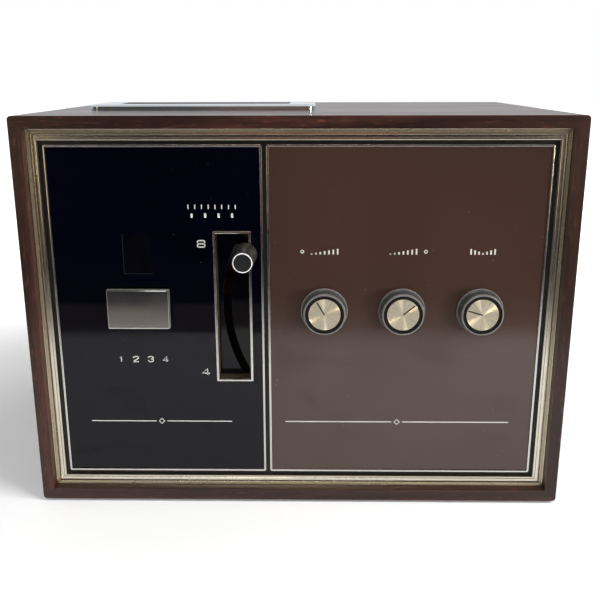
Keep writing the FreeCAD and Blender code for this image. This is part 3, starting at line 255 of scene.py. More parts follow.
def spun_metal(name, colour):
    """Turned disc: its fine rings spread each highlight into a wedge from the middle; darker and
    lighter wedges from the middle are also painted into its colour as painted reflection.
    """
    n = Nodes(name)
    tangent = n.add("ShaderNodeTangent", direction_type="RADIAL", axis="Y")
    n.link(tangent.outputs["Tangent"], n.bsdf.inputs["Tangent"])
    centre = n.add("ShaderNodeMapping")
    centre.inputs["Location"].default_value = (-0.5, 0, -0.5)
    centre.inputs["Scale"].default_value = (1, 0, 1)
    n.link(n.add("ShaderNodeTexCoord").outputs["Generated"], centre.inputs["Vector"])
    wave = n.add("ShaderNodeTexWave", Scale=14.0, Distortion=1.5, Detail=2.0)
    wave.wave_type, wave.rings_direction = "RINGS", "Y"
    n.link(centre.outputs["Vector"], wave.inputs["Vector"])
    n.roughness(n.between(wave.outputs["Fac"], 0, 1, 0.33, 0.39))
    spoke = n.add("ShaderNodeVectorMath", operation="NORMALIZE")
    n.link(centre.outputs["Vector"], spoke.inputs[0])
    # painted reflection: the colour changes in random wedges round the middle, standing in for the
    # bright and dark wedges that a turned disc reflects
    streaks = n.between(n.noise(spoke.outputs["Vector"], 7.0, 4.0, 0.65), 0.40, 0.66)
    n.colour(n.mix(streaks, shade(colour, 0.80), colour))
    n.set(Metallic=0.82, Anisotropic=1.0, Anisotropic_Rotation=0.25)
    return n.mat


def plastic(name, colour, rough, texture=0.0, scale=900):
    """Plastic, paint or rubber; texture is the strength of its fine grain, scale its
    fineness."""
    n = Nodes(name)
    n.colour(n.mix(n.noise(n.coords, 90, 3.0), colour, shade(colour, 1.5)))
    n.roughness(n.between(n.noise(n.coords, 180, 3.0), 0.3, 0.7, rough, rough + 0.1))
    n.bump(n.noise(n.coords, scale, 2.0), 0.02 * MM, texture)
    return n.mat


def smoked_glass(name):
    """Dark lens with faint upright streaks."""
    n = Nodes(name)
    n.colour(n.ramp(n.noise(n.scaled(400, 400, 40), 1.0, 2.0), (0.3, srgb(3, 2, 6)),
                    (0.7, srgb(6, 5, 11))))
    n.set(Roughness=0.06, Specular_IOR_Level=0.34)
    return n.mat


def fibre(name, colour):
    """Felt or pressed board."""
    n = Nodes(name)
    fine = n.noise(n.coords, 1400, 4.0, 0.7)
    n.colour(n.mix(fine, colour, shade(colour, 1.7)))
    n.bump(fine, 0.1 * MM, 0.5)
    n.set(Roughness=0.9)
    return n.mat


def ink(name, colour):
    """Flat print or paint, slightly uneven."""
    n = Nodes(name)
    uneven = n.between(n.noise(n.coords, 2500, 2.0), 0.35, 0.65, 0, 0.35)
    n.colour(n.mix(uneven, colour, shade(colour, 0.7)))
    n.set(Roughness=0.45)
    return n.mat


M = {
    "walnut_wide": walnut("walnut_wide", 0),
    "walnut_tall": walnut("walnut_tall", 2),
    "softwood": plain_wood("softwood", srgb(196, 160, 118), srgb(160, 122, 84), 1),
    "hardboard": fibre("hardboard", srgb(92, 62, 42)),
    "gold": drawn_metal("gold", srgb(238, 231, 212), 0.17, 0.07, 0.35),
    # painted shade: a darker, less metallic copy of the gold, laid on the moulding's outer band in
    # place of the dark reflections and shade it gets beside the boards; its worn spots are wear
    "gold_shaded_band": bright_metal("gold_shaded_band", srgb(180, 166, 138), 0.2, 0.2, metal=0.74),
    "black_enamel": enamel("black_enamel", srgb(2, 2, 11), 0.035, 0.12, 0.37),
    "brown_enamel": enamel("brown_enamel", srgb(60, 42, 35), 0.10, 0.4, 0.82),
    "black_steel": plastic("black_steel", srgb(10, 10, 11), 0.35),
    "silver": bright_metal("silver", srgb(232, 230, 224), 0.14, 0.3),
    "slot_wall": bright_metal("slot_wall", srgb(104, 92, 72), 0.35, 0.3, metal=0.6),
    "chrome": bright_metal("chrome", srgb(232, 232, 234), 0.08, 0.15),
    "button_plate": drawn_metal("button_plate", srgb(212, 212, 207), 0.09, 0.06, 0.35, 0.02),
    "bezel_plate": drawn_metal("bezel_plate", srgb(222, 234, 237), 0.09, 0.08, 0.3),
    "spun": spun_metal("spun", srgb(240, 228, 202)),
    "ring_silver": bright_metal("ring_silver", srgb(252, 252, 250), 0.35, metal=0.3),
    "slot_black": enamel("slot_black", srgb(3, 3, 9), 0.04, 0.0, 0.34),
    "black_matt": plastic("black_matt", srgb(17, 17, 18), 0.5, 0.5),
    "knob_grey": plastic("knob_grey", srgb(60, 59, 58), 0.18, 0.4),
    # painted highlight: a lighter grey than the barrel for the skirt's rounded edge and the
    # bevelled face round the groove; the face ring is partly a paler finish too
    "knob_rim_highlight": plastic("knob_rim_highlight", srgb(96, 94, 92), 0.22, 0.3),
    # painted shade: near-black for the deep groove round the inlay and the inlay's edge down in it
    "groove_shade_black": plastic("groove_shade_black", srgb(2, 2, 2), 0.7, 0.03),
    "lever_grey": plastic("lever_grey", srgb(40, 40, 38), 0.26, 1.0, 420),
    "lever_tip": plastic("lever_tip", srgb(15, 17, 20), 0.4, 0.36),
    "smoked": smoked_glass("smoked"),
    "zinc": bright_metal("zinc", srgb(176, 176, 170), 0.34, 0.5),
    "turned_steel": bright_metal("turned_steel", srgb(196, 196, 198), 0.22, 0.2),
    "brass": bright_metal("brass", srgb(214, 178, 104), 0.26, 0.4),
    "rubber": plastic("rubber", srgb(18, 18, 18), 0.62, 0.6),
    "felt": fibre("felt", srgb(34, 30, 30)),
    "coil_tape": plastic("coil_tape", srgb(150, 112, 48), 0.45, 0.4),
    "phenolic": plastic("phenolic", srgb(150, 112, 58), 0.4, 0.3),
    "parts_blue": plastic("parts_blue", srgb(40, 52, 84), 0.4, 0.2),
    "bulb": plastic("bulb", srgb(190, 186, 170), 0.12),
    "print": ink("print", srgb(206, 204, 196)),
    "line_black": ink("line_black", srgb(6, 6, 6)),
    # painted highlight: pale grey for a thin line round the button cap's sides, standing in for
    # light caught along its edge
    "cap_edge_highlight": ink("cap_edge_highlight", srgb(120, 120, 114)),
    # painted highlight: dark grey, a little lighter than the lens, for a line along the left and
    # bottom edges of the lens
    "lens_hole_highlight": ink("lens_hole_highlight", srgb(19, 20, 28)),
}


# ---- mesh helpers ----------------------------------------------------------------------------
SMALLEST_RADIUS = 0.05 * MM
PRINT_THICK = 0.04 * MM
PRINT_STANDS = 0.03 * MM                 # how far print stands out of its ground


def piece(name, verts, faces, material, body=ROOT, slot=None, smooth=30, replaces=()):
    """Mesh in the row frame that rides on a body and stands for the nodes it replaces."""
    mesh = bpy.data.meshes.new(name)
    mesh.from_pydata([tuple(p) for p in verts], [], faces)
    mesh.validate()
    mesh.materials.append(M[material])
    obj = bpy.data.objects.new(name, mesh)
    bpy.context.collection.objects.link(obj)
    fix_normals(mesh)
    mesh.shade_smooth()
    mesh.set_sharp_from_angle(angle=math.radians(smooth))
    if replaces:
        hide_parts(*replaces)
    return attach(obj, body)


def fix_normals(mesh):
    """Turns every face outwards."""
    bm = bmesh.new()
    bm.from_mesh(mesh)
    bmesh.ops.recalc_face_normals(bm, faces=bm.faces)
    bm.to_mesh(mesh)
    bm.free()


def rounded_rect(x0, x1, z0, z1, r, steps=6):
    """Closed outline in X and Z, counter-clockwise seen from the front."""
    corners = ((x1 - r, z0 + r, -90), (x1 - r, z1 - r, 0),
               (x0 + r, z1 - r, 90), (x0 + r, z0 + r, 180))
    points = []
    for cx, cz, start in corners:
        for i in range(steps + 1):
            a = math.radians(start + 90 * i / steps)
            points.append((cx + r * math.cos(a), cz + r * math.sin(a)))
    return points


def rings(loops, closed=True):
    """Quads between equal loops of points; closed joins the last loop to the first."""
    count, n = len(loops), len(loops[0])
    verts = [p for loop in loops for p in loop]
    faces = []
    for i in range(count if closed else count - 1):
        a, b = i * n, (i + 1) % count * n
        faces += [(a + k, a + (k + 1) % n, b + (k + 1) % n, b + k) for k in range(n)]
    return verts, faces


def moulding(name, bounds, radius, section, material, **more):
    """Moulding round a rectangle. section holds (inwards, y) pairs."""
    x0, x1, z0, z1 = bounds
    loops = []
    for u, y in section:
        r = max(radius - u, SMALLEST_RADIUS)
        outline = rounded_rect(x0 + u, x1 - u, z0 + u, z1 - u, r)
        loops.append([(x, y, z) for x, z in outline])
    verts, faces = rings(loops)
    return piece(name, verts, faces, material, **more)


def lathe(name, x, z, profile, material, steps=96, ripple=None, **more):
    """Turned piece round a Y axis. profile holds (radius, y); ripple(k, angle) scales radii."""
    loops = []
    for k, (r, y) in enumerate(profile):
        loop = []
        for i in range(steps):
            a = 2 * math.pi * i / steps
            s = r * (ripple(k, a) if ripple else 1)
            loop.append((x + s * math.cos(a), y, z + s * math.sin(a)))
        loops.append(loop)
    verts, faces = rings(loops, closed=False)
    faces.append(tuple(range(steps)))
    faces.append(tuple(range(len(verts) - steps, len(verts))))
    return piece(name, verts, faces, material, **more)


def refinish(obj, finish, wanted):
    """Gives another finish to the faces that wanted picks."""
    materials = obj.data.materials
    materials.append(M[finish])
    for face in obj.data.polygons:
        if wanted(face):
            face.material_index = len(materials) - 1


def strokes(name, paths, width, y, material, body=ROOT, thick=PRINT_THICK):
    """Thin raised strokes: each path is (closed, points in X and Z) drawn at one width."""
    verts, faces = [], []
    for closed, points in paths:
        base, n = len(verts), len(points)
        for i, (x, z) in enumerate(points):
            before = points[i - 1] if closed or i else points[i]
            after = points[(i + 1) % n] if closed or i < n - 1 else points[i]
            tx, tz = after[0] - before[0], after[1] - before[1]
            length = math.hypot(tx, tz)
            nx, nz = -tz / length * width / 2, tx / length * width / 2
            verts += [(x + nx, y, z + nz), (x - nx, y, z - nz),
                      (x - nx, y + thick, z - nz), (x + nx, y + thick, z + nz)]
        for i in range(n if closed else n - 1):
            a, b = base + 4 * i, base + 4 * ((i + 1) % n)
            faces += [(a + k, a + (k + 1) % 4, b + (k + 1) % 4, b + k) for k in range(4)]
        if not closed:
            last = base + 4 * (n - 1)
            faces += [(base, base + 1, base + 2, base + 3), (last, last + 1, last + 2, last + 3)]
    return piece(name, verts, faces, material, body=body)


# ---- cabinet and moulding --------------------------------------------------------------------
# width of the small rounding on the sharp edges of each CAD node that shows
SOFT_EDGES = {"top_board": 0.5 * MM, "bottom_board": 0.5 * MM, "left_board": 0.5 * MM,
              "right_board": 0.5 * MM, "back_panel": 0.3 * MM, "slot_bezel": 0.3 * MM,
              "selector_box": 0.15 * MM, "indicator_lens": 0.2 * MM,
              "cartridge_door": 0.2 * MM, "selector_knob": 0.35 * MM}
SHARP_ANGLE, EDGE_STEPS = math.radians(35), 3


def dress_cad_nodes():
    """Finishes of the CAD nodes that keep their own shape."""
    finishes = {
        "walnut_wide": ["top_board", "bottom_board"],
        "walnut_tall": ["left_board", "right_board"],
        "softwood": ["corner_blocks"],
        "hardboard": ["back_panel"],
        "black_steel": ["front_plate"],
        "black_matt": ["button_guide", "selector_lever", "channel_switch", "lamp_block",
                       "cord_gland", "cartridge_door"],
        "slot_black": ["selector_box"],
        "lever_grey": ["selector_knob"],
        "smoked": ["indicator_lens"],
        "zinc": ["screws", "selector_bracket", "drawbar", "roller_arm", "potentiometers",
                 "cartridge_well", "hold_lever", "deck_plate", "motor", "solenoid",
                 "solenoid_plunger", "chassis", "transformer_core"],
        "turned_steel": ["flywheel", "button_spring"],
        "chrome": ["playback_head"],
        "bezel_plate": ["slot_bezel"],
        "brass": ["motor_pulley", "head_carriage", "track_cam", "speaker_jacks"]
                 + [k + "_shaft" for k in KNOBS],
        "rubber": ["pinch_roller", "drive_belt"],
        "felt": ["feet"],
        "coil_tape": ["transformer_coil"],
        "phenolic": ["amplifier_board"],
        "parts_blue": ["board_components"],
        "bulb": ["indicator_lamps"],
    }
    for finish, nodes in finishes.items():
        for node in nodes:
            materials = frame["nodes"][node].data.materials
            materials.clear()
            materials.append(M[finish])
    for node, width in SOFT_EDGES.items():
        soften(frame["nodes"][node], width)


def soften(obj, width):
    """Rounds an object's sharp edges without touching its own mesh."""
    bevel = obj.modifiers.new("soft_edges", "BEVEL")
    bevel.width, bevel.segments = width, EDGE_STEPS
    bevel.limit_method, bevel.angle_limit = "ANGLE", SHARP_ANGLE
    bevel.harden_normals = True


def arc(p0, p1, p2, steps=8):
    """Points on the circle through three points, from p0 to p2."""
    ax, ay, bx, by, cx, cy = *p0, *p1, *p2
    a, b, c = ax**2 + ay**2, bx**2 + by**2, cx**2 + cy**2
    d = 2 * (ax * (by - cy) + bx * (cy - ay) + cx * (ay - by))
    ux = (a * (by - cy) + b * (cy - ay) + c * (ay - by)) / d
    uy = (a * (cx - bx) + b * (ax - cx) + c * (bx - ax)) / d
    r = math.hypot(ax - ux, ay - uy)
    a0, a1, a2 = (math.atan2(y - uy, x - ux) for x, y in (p0, p1, p2))
    turn = (a2 - a0) % (2 * math.pi)
    if (a1 - a0) % (2 * math.pi) > turn:
        turn -= 2 * math.pi
    return [(ux + r * math.cos(a0 + turn * i / steps), uy + r * math.sin(a0 + turn * i / steps))
            for i in range(steps + 1)]


TRIM_WIDTH = 6.2 * MM
MITRE_GAP = 0.08 * MM
# the outer band between these shares takes the darker copy of the gold as painted shade
SHADE_FROM, SHADE_TO = 0.068, 0.335        # the outer band, in shares of the width


def trim_section():
    """(inwards, height) of the gold moulding, from its outer wall to its inner one. The
    numbers are shares of its width and height."""
    _, _, y0, y1, _, _ = span("trim_stiles")
    lip = [(0, 0), (0.015, 0.5), (0.03, 0.90), (0.04, 0.985), (0.06, 0.98)]
    outer_band = arc((0.07, 0.965), (0.20, 0.925), (0.33, 0.875))
    outer_groove = [(0.34, 0.85), (0.355, 0.85)]
    ridge = arc((0.37, 0.90), (0.45, 0.925), (0.53, 0.945))
    cove = arc((0.55, 0.88), (0.66, 0.86), (0.75, 0.855))
    inner_groove = [(0.76, 0.835), (0.77, 0.835)]
    bead = arc((0.78, 0.88), (0.90, 0.915), (1, 0.86), 12)
    foot = [(1, 0)]
    points = lip + outer_band + outer_groove + ridge + cove + inner_groove + bead + foot
    return [(u * TRIM_WIDTH, h * (y1 - y0)) for u, h in points]


def trim_side(name, start, end, inward):
    """One mitred length from corner to corner; start and end are its outer corners."""
    run = (end - start).normalized()
    verts = []
    section = trim_section()
    for corner, way in ((start, 1), (end, -1)):
        for u, h in section:
            shift = run * way * (u + MITRE_GAP) + inward * u
            verts.append(corner + shift + Vector((0, PLATE_FRONT - h, 0)))
    n = len(section)
    faces = [(k, (k + 1) % n, n + (k + 1) % n, n + k) for k in range(n)]
    faces += [tuple(range(n)), tuple(range(n, 2 * n))]
    obj = piece(name, verts, faces, "gold", slot="gold_trim", smooth=35)
    def in_outer_band(face):
        share = (face.center - start).dot(inward) / TRIM_WIDTH
        return SHADE_FROM < share < SHADE_TO and len(face.vertices) == 4
    # painted shade: the outer band gets the darker, less metallic copy of the gold
    refinish(obj, "gold_shaded_band", in_outer_band)
    return obj


def trim():
    """The four lengths of the gold moulding."""
    x0, x1, _, _, z0, z1 = span("trim_stiles")
    low_left, low_right = Vector((x0, 0, z0)), Vector((x1, 0, z0))
    up_left, up_right = Vector((x0, 0, z1)), Vector((x1, 0, z1))
    up, across = Vector((0, 0, 1)), Vector((1, 0, 0))
    bottom = trim_side("moulding_bottom", low_left, low_right, up)
    top = trim_side("moulding_top", up_left, up_right, -up)
    left = trim_side("moulding_left", low_left, up_left, across)
    right = trim_side("moulding_right", low_right, up_right, -across)
    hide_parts("trim_rails")
    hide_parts("trim_rails")
    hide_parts("trim_stiles")
    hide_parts("trim_stiles")


# ---- control panels --------------------------------------------------------------------------
RIM_WIDTH, RIM_CORNER = 1.2 * MM, 1.2 * MM
RIM_FLOOR = 0.3 * MM                     # how far a rim's inner side ends behind the panel face
SHEET_CORNER, HOLE_CORNER, LENS_GAP = 0.6 * MM, 0.5 * MM, 0.02 * MM
BUSH_HOLE = 4.95 * MM                    # radius
SOFT = 0.18 * MM                         # softening of a raised line's front edges
SELECTOR_LINE, SELECTOR_CORNER = 1.35 * MM, 0.35 * MM
RING_INSET, RING_WIDTH, TIP_DEPTH = 0.2 * MM, 0.55 * MM, 0.5 * MM
BUTTON_W, BUTTON_H, BUTTON_GAP = 34.6 * MM, 22.4 * MM, 0.4 * MM
BUTTON_EDGE, BUTTON_STEM, FLANGE, FLANGE_T = 0.42 * MM, 4.0 * MM, 2.0 * MM, 1.2 * MM
BUTTON_LIP, BUTTON_LIP_BACK, BUTTON_HOLE_CORNER = 0.3 * MM, 2.4 * MM, 0.3 * MM


def rim_section(width, front, back, floor):
    """Raised line with softened front edges; floor is where its inner side ends."""
    nick = 0.3 * SOFT
    return [(0, back), (0, front + SOFT), (nick, front + nick), (SOFT, front),
            (width - SOFT, front), (width - nick, front + nick), (width, front + SOFT),
            (width, floor), (0.5 * width, floor)]


def sheet_with_holes(name, node, holes, material):
    """Panel sheet inside its rim, with holes given as outlines in X and Z."""
    x0, x1, _, back, z0, z1 = span(node)
    inset = RIM_WIDTH * 0.5
    outline = rounded_rect(x0 + inset, x1 - inset, z0 + inset, z1 - inset, SHEET_CORNER, 3)
    curve = bpy.data.curves.new(name, "CURVE")
    curve.dimensions, curve.fill_mode = "2D", "BOTH"
    half_thick = (back - PANEL_FRONT) / 2
    curve.extrude = half_thick
    for points in [outline] + holes:
        spline = curve.splines.new("POLY")
        spline.points.add(len(points) - 1)
        for point, (x, z) in zip(spline.points, points):
            point.co = (x, z, 0, 1)
        spline.use_cyclic_u = True
    flat = bpy.data.objects.new(name, curve)
    bpy.context.collection.objects.link(flat)
    bpy.context.view_layer.update()
    graph = bpy.context.evaluated_depsgraph_get()
    mesh = bpy.data.meshes.new_from_object(flat.evaluated_get(graph))
    bpy.data.objects.remove(flat)
    upright = Matrix.Rotation(math.pi / 2, 4, "X")
    mesh.transform(Matrix.Translation((0, PANEL_FRONT + half_thick, 0)) @ upright)
    mesh.materials.clear()
    mesh.materials.append(M[material])
    obj = bpy.data.objects.new(name, mesh)
    bpy.context.collection.objects.link(obj)
    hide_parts(node)
    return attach(obj, ROOT)


def middle(node):
    """Middle of a node in X and Z."""
    x0, x1, _, _, z0, z1 = span(node)
    return (x0 + x1) / 2, (z0 + z1) / 2


def circle(x, z, r, steps=48):
    turns = [2 * math.pi * i / steps for i in range(steps)]
    return [(x + r * math.cos(a), z + r * math.sin(a)) for a in turns]


def hole_for(node, gap):
    """Outline of the hole that a node stands in, with a gap round it."""
    x0, x1, _, _, z0, z1 = span(node)
    return rounded_rect(x0 - gap, x1 + gap, z0 - gap, z1 + gap, HOLE_CORNER, 4)


def panels():
    """Both panel sheets with their holes, and the bright raised line round each."""
    bush = [circle(*middle(k + "_knob"), BUSH_HOLE) for k in KNOBS]
    x, z = middle("channel_button")
    half_w, half_h = BUTTON_W / 2 + BUTTON_GAP, BUTTON_H / 2 + BUTTON_GAP
    button = rounded_rect(x - half_w, x + half_w, z - half_h, z + half_h, BUTTON_HOLE_CORNER, 3)
    holes = [hole_for("indicator_lens", LENS_GAP), button, hole_for("selector_frame", 0)]
    sheet_with_holes("black_panel_sheet", "left_panel", holes, "black_enamel")
    sheet_with_holes("brown_panel_sheet", "right_panel", bush, "brown_enamel")
    for node, name in (("left_panel", "black_panel_rim"), ("right_panel", "brown_panel_rim")):
        x0, x1, front, back, z0, z1 = span(node)
        section = rim_section(RIM_WIDTH, front, back, PANEL_FRONT + RIM_FLOOR)
        rim = moulding(name, (x0, x1, z0, z1), RIM_CORNER, section, "silver", slot="chrome")
        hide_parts(node)


def push_button():
    """Plated cap with thin rounded edges, and the flange and stem behind it."""
    x, z = middle("channel_button")
    _, _, front, back, _, _ = span("channel_button")
    half_w, half_h, stem = BUTTON_W / 2, BUTTON_H / 2, BUTTON_STEM
    flange = span("front_plate")[3] + BUTTON_GAP
    # each step is half width, half height, corner radius, y; from the back to the front
    steps = [(stem, stem, stem, back), (stem, stem, stem, flange + FLANGE_T),
             (half_w + FLANGE, half_h + FLANGE, FLANGE_T, flange + FLANGE_T),
             (half_w + FLANGE, half_h + FLANGE, FLANGE_T, flange),
             (half_w, half_h, 2 * BUTTON_EDGE, flange)]
    for a in range(0, 91, 18):
        inset = BUTTON_EDGE * (1 - math.cos(math.radians(a)))
        steps.append((half_w - inset, half_h - inset, 2 * BUTTON_EDGE - inset,
                      front + BUTTON_EDGE * (1 - math.sin(math.radians(a)))))
    steps.append((half_w - 2 * BUTTON_EDGE, half_h - 2 * BUTTON_EDGE, BUTTON_EDGE, front))
    loops = [[(px, y, pz) for px, pz in rounded_rect(x - w, x + w, z - h, z + h, r)]
             for w, h, r, y in steps]
    verts, faces = rings(loops, closed=False)
    count = len(loops[0])
    faces += [tuple(range(count)), tuple(range(len(verts) - count, len(verts)))]
    piece("button_cap", verts, faces, "button_plate", body="button_body", slot="chrome",
          smooth=40, replaces=["channel_button"])
    # painted highlight: a thin pale grey lip round the cap's sides, in place of the light line
    # along its edge
    lip_w, lip_h = half_w + BUTTON_LIP / 3, half_h + BUTTON_LIP / 3
    outline = rounded_rect(x - lip_w, x + lip_w, z - lip_h, z + lip_h, BUTTON_EDGE)
    strokes("button_lip", [(True, outline)], BUTTON_LIP, front + BUTTON_LIP_BACK, "cap_edge_highlight",
            body="button_body", thick=BUTTON_LIP)


def selector_window():
    """Bright line round the selector's opening, and the paler side walls of its box."""
    x0, x1, front, back, z0, z1 = span("selector_frame")
    moulding("selector_line", (x0, x1, z0, z1), SELECTOR_CORNER,
             rim_section(SELECTOR_LINE, front, back, back), "silver", slot="chrome",
             replaces=["selector_frame"])
    refinish(frame["nodes"]["selector_box"], "slot_wall", lambda face: abs(face.normal.y) < 0.5)


def selector_tip():
    """Plated half-round ring let into the end of the selector knob, round a dark disc."""
    x0, x1, front, back, _, _ = span("selector_ring")
    outer, width, rise = (x1 - x0) / 2 - RING_INSET, RING_WIDTH, 0.4 * RING_WIDTH
    profile = [(outer - width, back), (outer, back), (outer, front + rise)]
    for degrees in range(15, 181, 15):
        a = math.radians(degrees)
        profile.append((outer - width / 2 + width / 2 * math.cos(a),
                        front + rise - rise * math.sin(a)))
    verts, faces = rings([[(x, y, z) for x, z in circle(*middle("selector_ring"), r, 96)]
                          for r, y in profile])
    piece("selector_tip_ring", verts, faces, "ring_silver", body="selector", slot="chrome",
          smooth=50, replaces=["selector_ring"])
    refinish(frame["nodes"]["selector_knob"], "lever_tip",
             lambda face: face.center.y < front + TIP_DEPTH and abs(face.normal.y) > 0.9)


# ---- rotary knobs ----------------------------------------------------------------------------
BARREL_R, SKIRT_T, GROOVE_R, GROOVE_DEPTH = 12.1 * MM, 1.3 * MM, 10.7 * MM, 0.9 * MM
FACE_R, BORE_R, SKIRT_SOFT = 11.45 * MM, 2.9 * MM, 0.42 * MM
FLUTES, FLUTE_DEPTH = 60, 0.012          # number, and depth as a share of the radius
INLAY_T, INLAY_LIP, INLAY_RIM = 1.0 * MM, 0.25 * MM, 0.4 * MM
POINTER_WIDTH, POINTER_END = 0.75 * MM, 0.7 * MM
POINTER_TURN = {"volume_left": -31, "volume_right": 50, "tone": -73}      # degrees from upright


def band(obj, x, z, finishes, limit):
    """Gives the faces in front of y = limit the finish of the widest radius they reach;
    finishes holds (radius, finish) pairs from the middle outwards."""
    materials = obj.data.materials
    for _, finish in finishes:
        if finish not in materials:
            materials.append(M[finish])
    for face in obj.data.polygons:
        r = math.hypot(face.center.x - x, face.center.z - z)
        if face.center.y < limit:
            finish = [f for start, f in finishes if r >= start][-1]
            face.material_index = materials.find(finish)


def knob(name):
    """Skirt, finely fluted barrel, bevelled face with a deep groove round the inlay."""
    x, z = middle(name + "_knob")
    x0, x1, front, back, _, _ = span(name + "_knob")
    inlay_x0, inlay_x1, inlay_front, _, _, _ = span(name + "_inlay")
    skirt, inlay_r = (x1 - x0) / 2, (inlay_x1 - inlay_x0) / 2
    rise, soft, body = back - SKIRT_T, SKIRT_SOFT, name + "_body"
    profile = [(BORE_R, back), (skirt - soft, back), (skirt, back - soft), (skirt, rise + soft),
               (skirt - soft, rise), (BARREL_R + 0.25 * MM, rise), (BARREL_R, rise - 0.2 * MM)]
    fluted = [len(profile), len(profile) + 1]
    profile += [(BARREL_R, rise - 0.7 * MM), (BARREL_R, front + 1.5 * MM),
                (BARREL_R - 0.2 * MM, front + 1.0 * MM), (FACE_R + 0.15 * MM, front + 0.1 * MM),
                (FACE_R - 0.1 * MM, front), (GROOVE_R + 0.15 * MM, front),
                (GROOVE_R, front + 0.15 * MM), (GROOVE_R, front + GROOVE_DEPTH),
                (inlay_r - 0.3 * MM, front + GROOVE_DEPTH)]
    def ripple(k, a):
        return 1 - (FLUTE_DEPTH * (0.5 - 0.5 * math.cos(FLUTES * a)) if k in fluted else 0)
    grip = lathe(name + "_grip", x, z, profile, "knob_grey", steps=FLUTES * 5, ripple=ripple,
                 body=body, slot="matte_black", replaces=[name + "_knob"], smooth=38)
    # painted highlight: the skirt's rounded edge gets the lighter grey
    band(grip, x, z, ((0, "knob_grey"), (skirt - 1.5 * soft, "knob_rim_highlight")), back)
    # painted shade in the groove, which is near-black; painted highlight on the face and bevel
    # round it, which get the lighter grey
    band(grip, x, z, ((0, "groove_shade_black"), (GROOVE_R + 0.1 * MM, "knob_rim_highlight"),
                      (BARREL_R - 0.1 * MM, "knob_grey")), front + 1.2 * MM)
    lip, rim_r, inlay_back = INLAY_LIP, inlay_r - INLAY_RIM, inlay_front + INLAY_T
    face_y = inlay_front + lip * 0.55
    disc = [(inlay_r, inlay_back), (inlay_r, inlay_front + 2 * lip), (rim_r, inlay_front + 2 * lip),
            (rim_r, inlay_front + lip * 0.6), (rim_r - lip * 0.5, inlay_front),
            (rim_r - lip * 1.6, inlay_front + lip * 0.15), (rim_r - lip * 2.2, face_y),
            (0.2 * MM, face_y)]
    inlay = lathe(name + "_disc", x, z, disc, "spun", body=body, slot="spun_aluminium",
                  replaces=[name + "_inlay"], smooth=20)
    # painted shade: the inlay's outer edge, down in the groove, is near-black
    band(inlay, x, z, ((0, "spun"), (inlay_r - 0.35 * MM, "groove_shade_black")), inlay_back)
    a, reach = math.radians(POINTER_TURN[name]), inlay_r - POINTER_END
    tip = (x + reach * math.sin(a), z + reach * math.cos(a))
    strokes(name + "_pointer", [(False, [(x, z), tip])], POINTER_WIDTH, face_y - PRINT_STANDS,
            "line_black", body=body)


# ---- printed marks ---------------------------------------------------------------------------
PRINT_Y = PANEL_FRONT - PRINT_STANDS
STROKE = 0.75 * MM                       # width of the selector's numerals
NUMERAL_H = 3.6 * MM
NUMERAL_X = 8.6 * MM                     # left of the selector's frame
CHANNEL_W, CHANNEL_H, CHANNEL_STROKE = 3.0 * MM, 3.2 * MM, 0.62 * MM
CHANNEL_PITCH, CHANNEL_DROP = 8.6 * MM, 33.0 * MM
CAPTION_X, CAPTION_PITCH, CAPTION_H = 23.6 * MM, 3.7 * MM, 2.4 * MM
KNOB_MARK_RISE, KNOB_MARK_WIDTH = 32.4 * MM, 0.9 * MM
RULE_Z, RULE_WIDTH, LOZENGE = 49.0 * MM, 0.6 * MM, 1.6 * MM


def oval(x0, x1, z0, z1):
    """Closed path with nearly half-round ends."""
    r = min(x1 - x0, z1 - z0) / 2 * 0.95
    return True, rounded_rect(x0, x1, z0, z1, r, 5)


def numeral_paths(digit, x, z, w, h):
    """Wide rounded numerals; x, z is the lower left corner of the middle of the strokes."""
    def at(u, v):
        return x + u * w, z + v * h
    if digit == 8:
        waist = z + 0.5 * h
        foot = waist + 0.51 * STROKE
        arch = [p for p in oval(x, x + w, waist, z + h)[1] if p[1] > foot]
        return [oval(x, x + w, z, waist), (False, arch)]
    if digit == 4:
        return [(False, [at(0.72, 0), at(0.72, 1), at(0, 0.28), at(1, 0.28)])]
    if digit == 1:
        return [(False, [at(0.28, 0.74), at(0.55, 1), at(0.55, 0)])]
    turns = [math.radians(a) for a in range(0, 200, 20)]
    top = [at(0.5 - 0.5 * math.cos(a), 0.72 + 0.28 * math.sin(a)) for a in turns]
    if digit == 2:
        return [(False, top[:-1] + [at(0.94, 0.6), at(0.06, 0.1), at(0, 0), at(1, 0)])]
    low = [(px, 2 * z + h - pz) for px, pz in reversed(top)]
    notch = [at(0.95, 0.58), at(0.45, 0.52), at(0.95, 0.42)]
    return [(False, top[:-1] + notch + low[1:])]


def numeral(name, digit, x, z, w, h, width=STROKE):
    strokes(name, numeral_paths(digit, x, z, w, h), width, PRINT_Y, "print")


def bars(name, x0, pitch, heights, z, width):
    """Row of upright bars on one base line."""
    paths = [(False, [(x0 + i * pitch, z), (x0 + i * pitch, z + high)])
             for i, high in enumerate(heights)]
    strokes(name, paths, width, PRINT_Y, "print")


def rule(name, x0, x1):
    """Long thin printed line with a small lozenge at its middle."""
    mid, half, z = (x0 + x1) / 2, LOZENGE, RULE_Z
    strokes(name, [(False, [(x0, z), (mid - 2 * half, z)]), (False, [(mid + 2 * half, z), (x1, z)]),
                   (True, [(mid - half, z), (mid, z - half), (mid + half, z), (mid, z + half)])],
            RULE_WIDTH, PRINT_Y, "print")


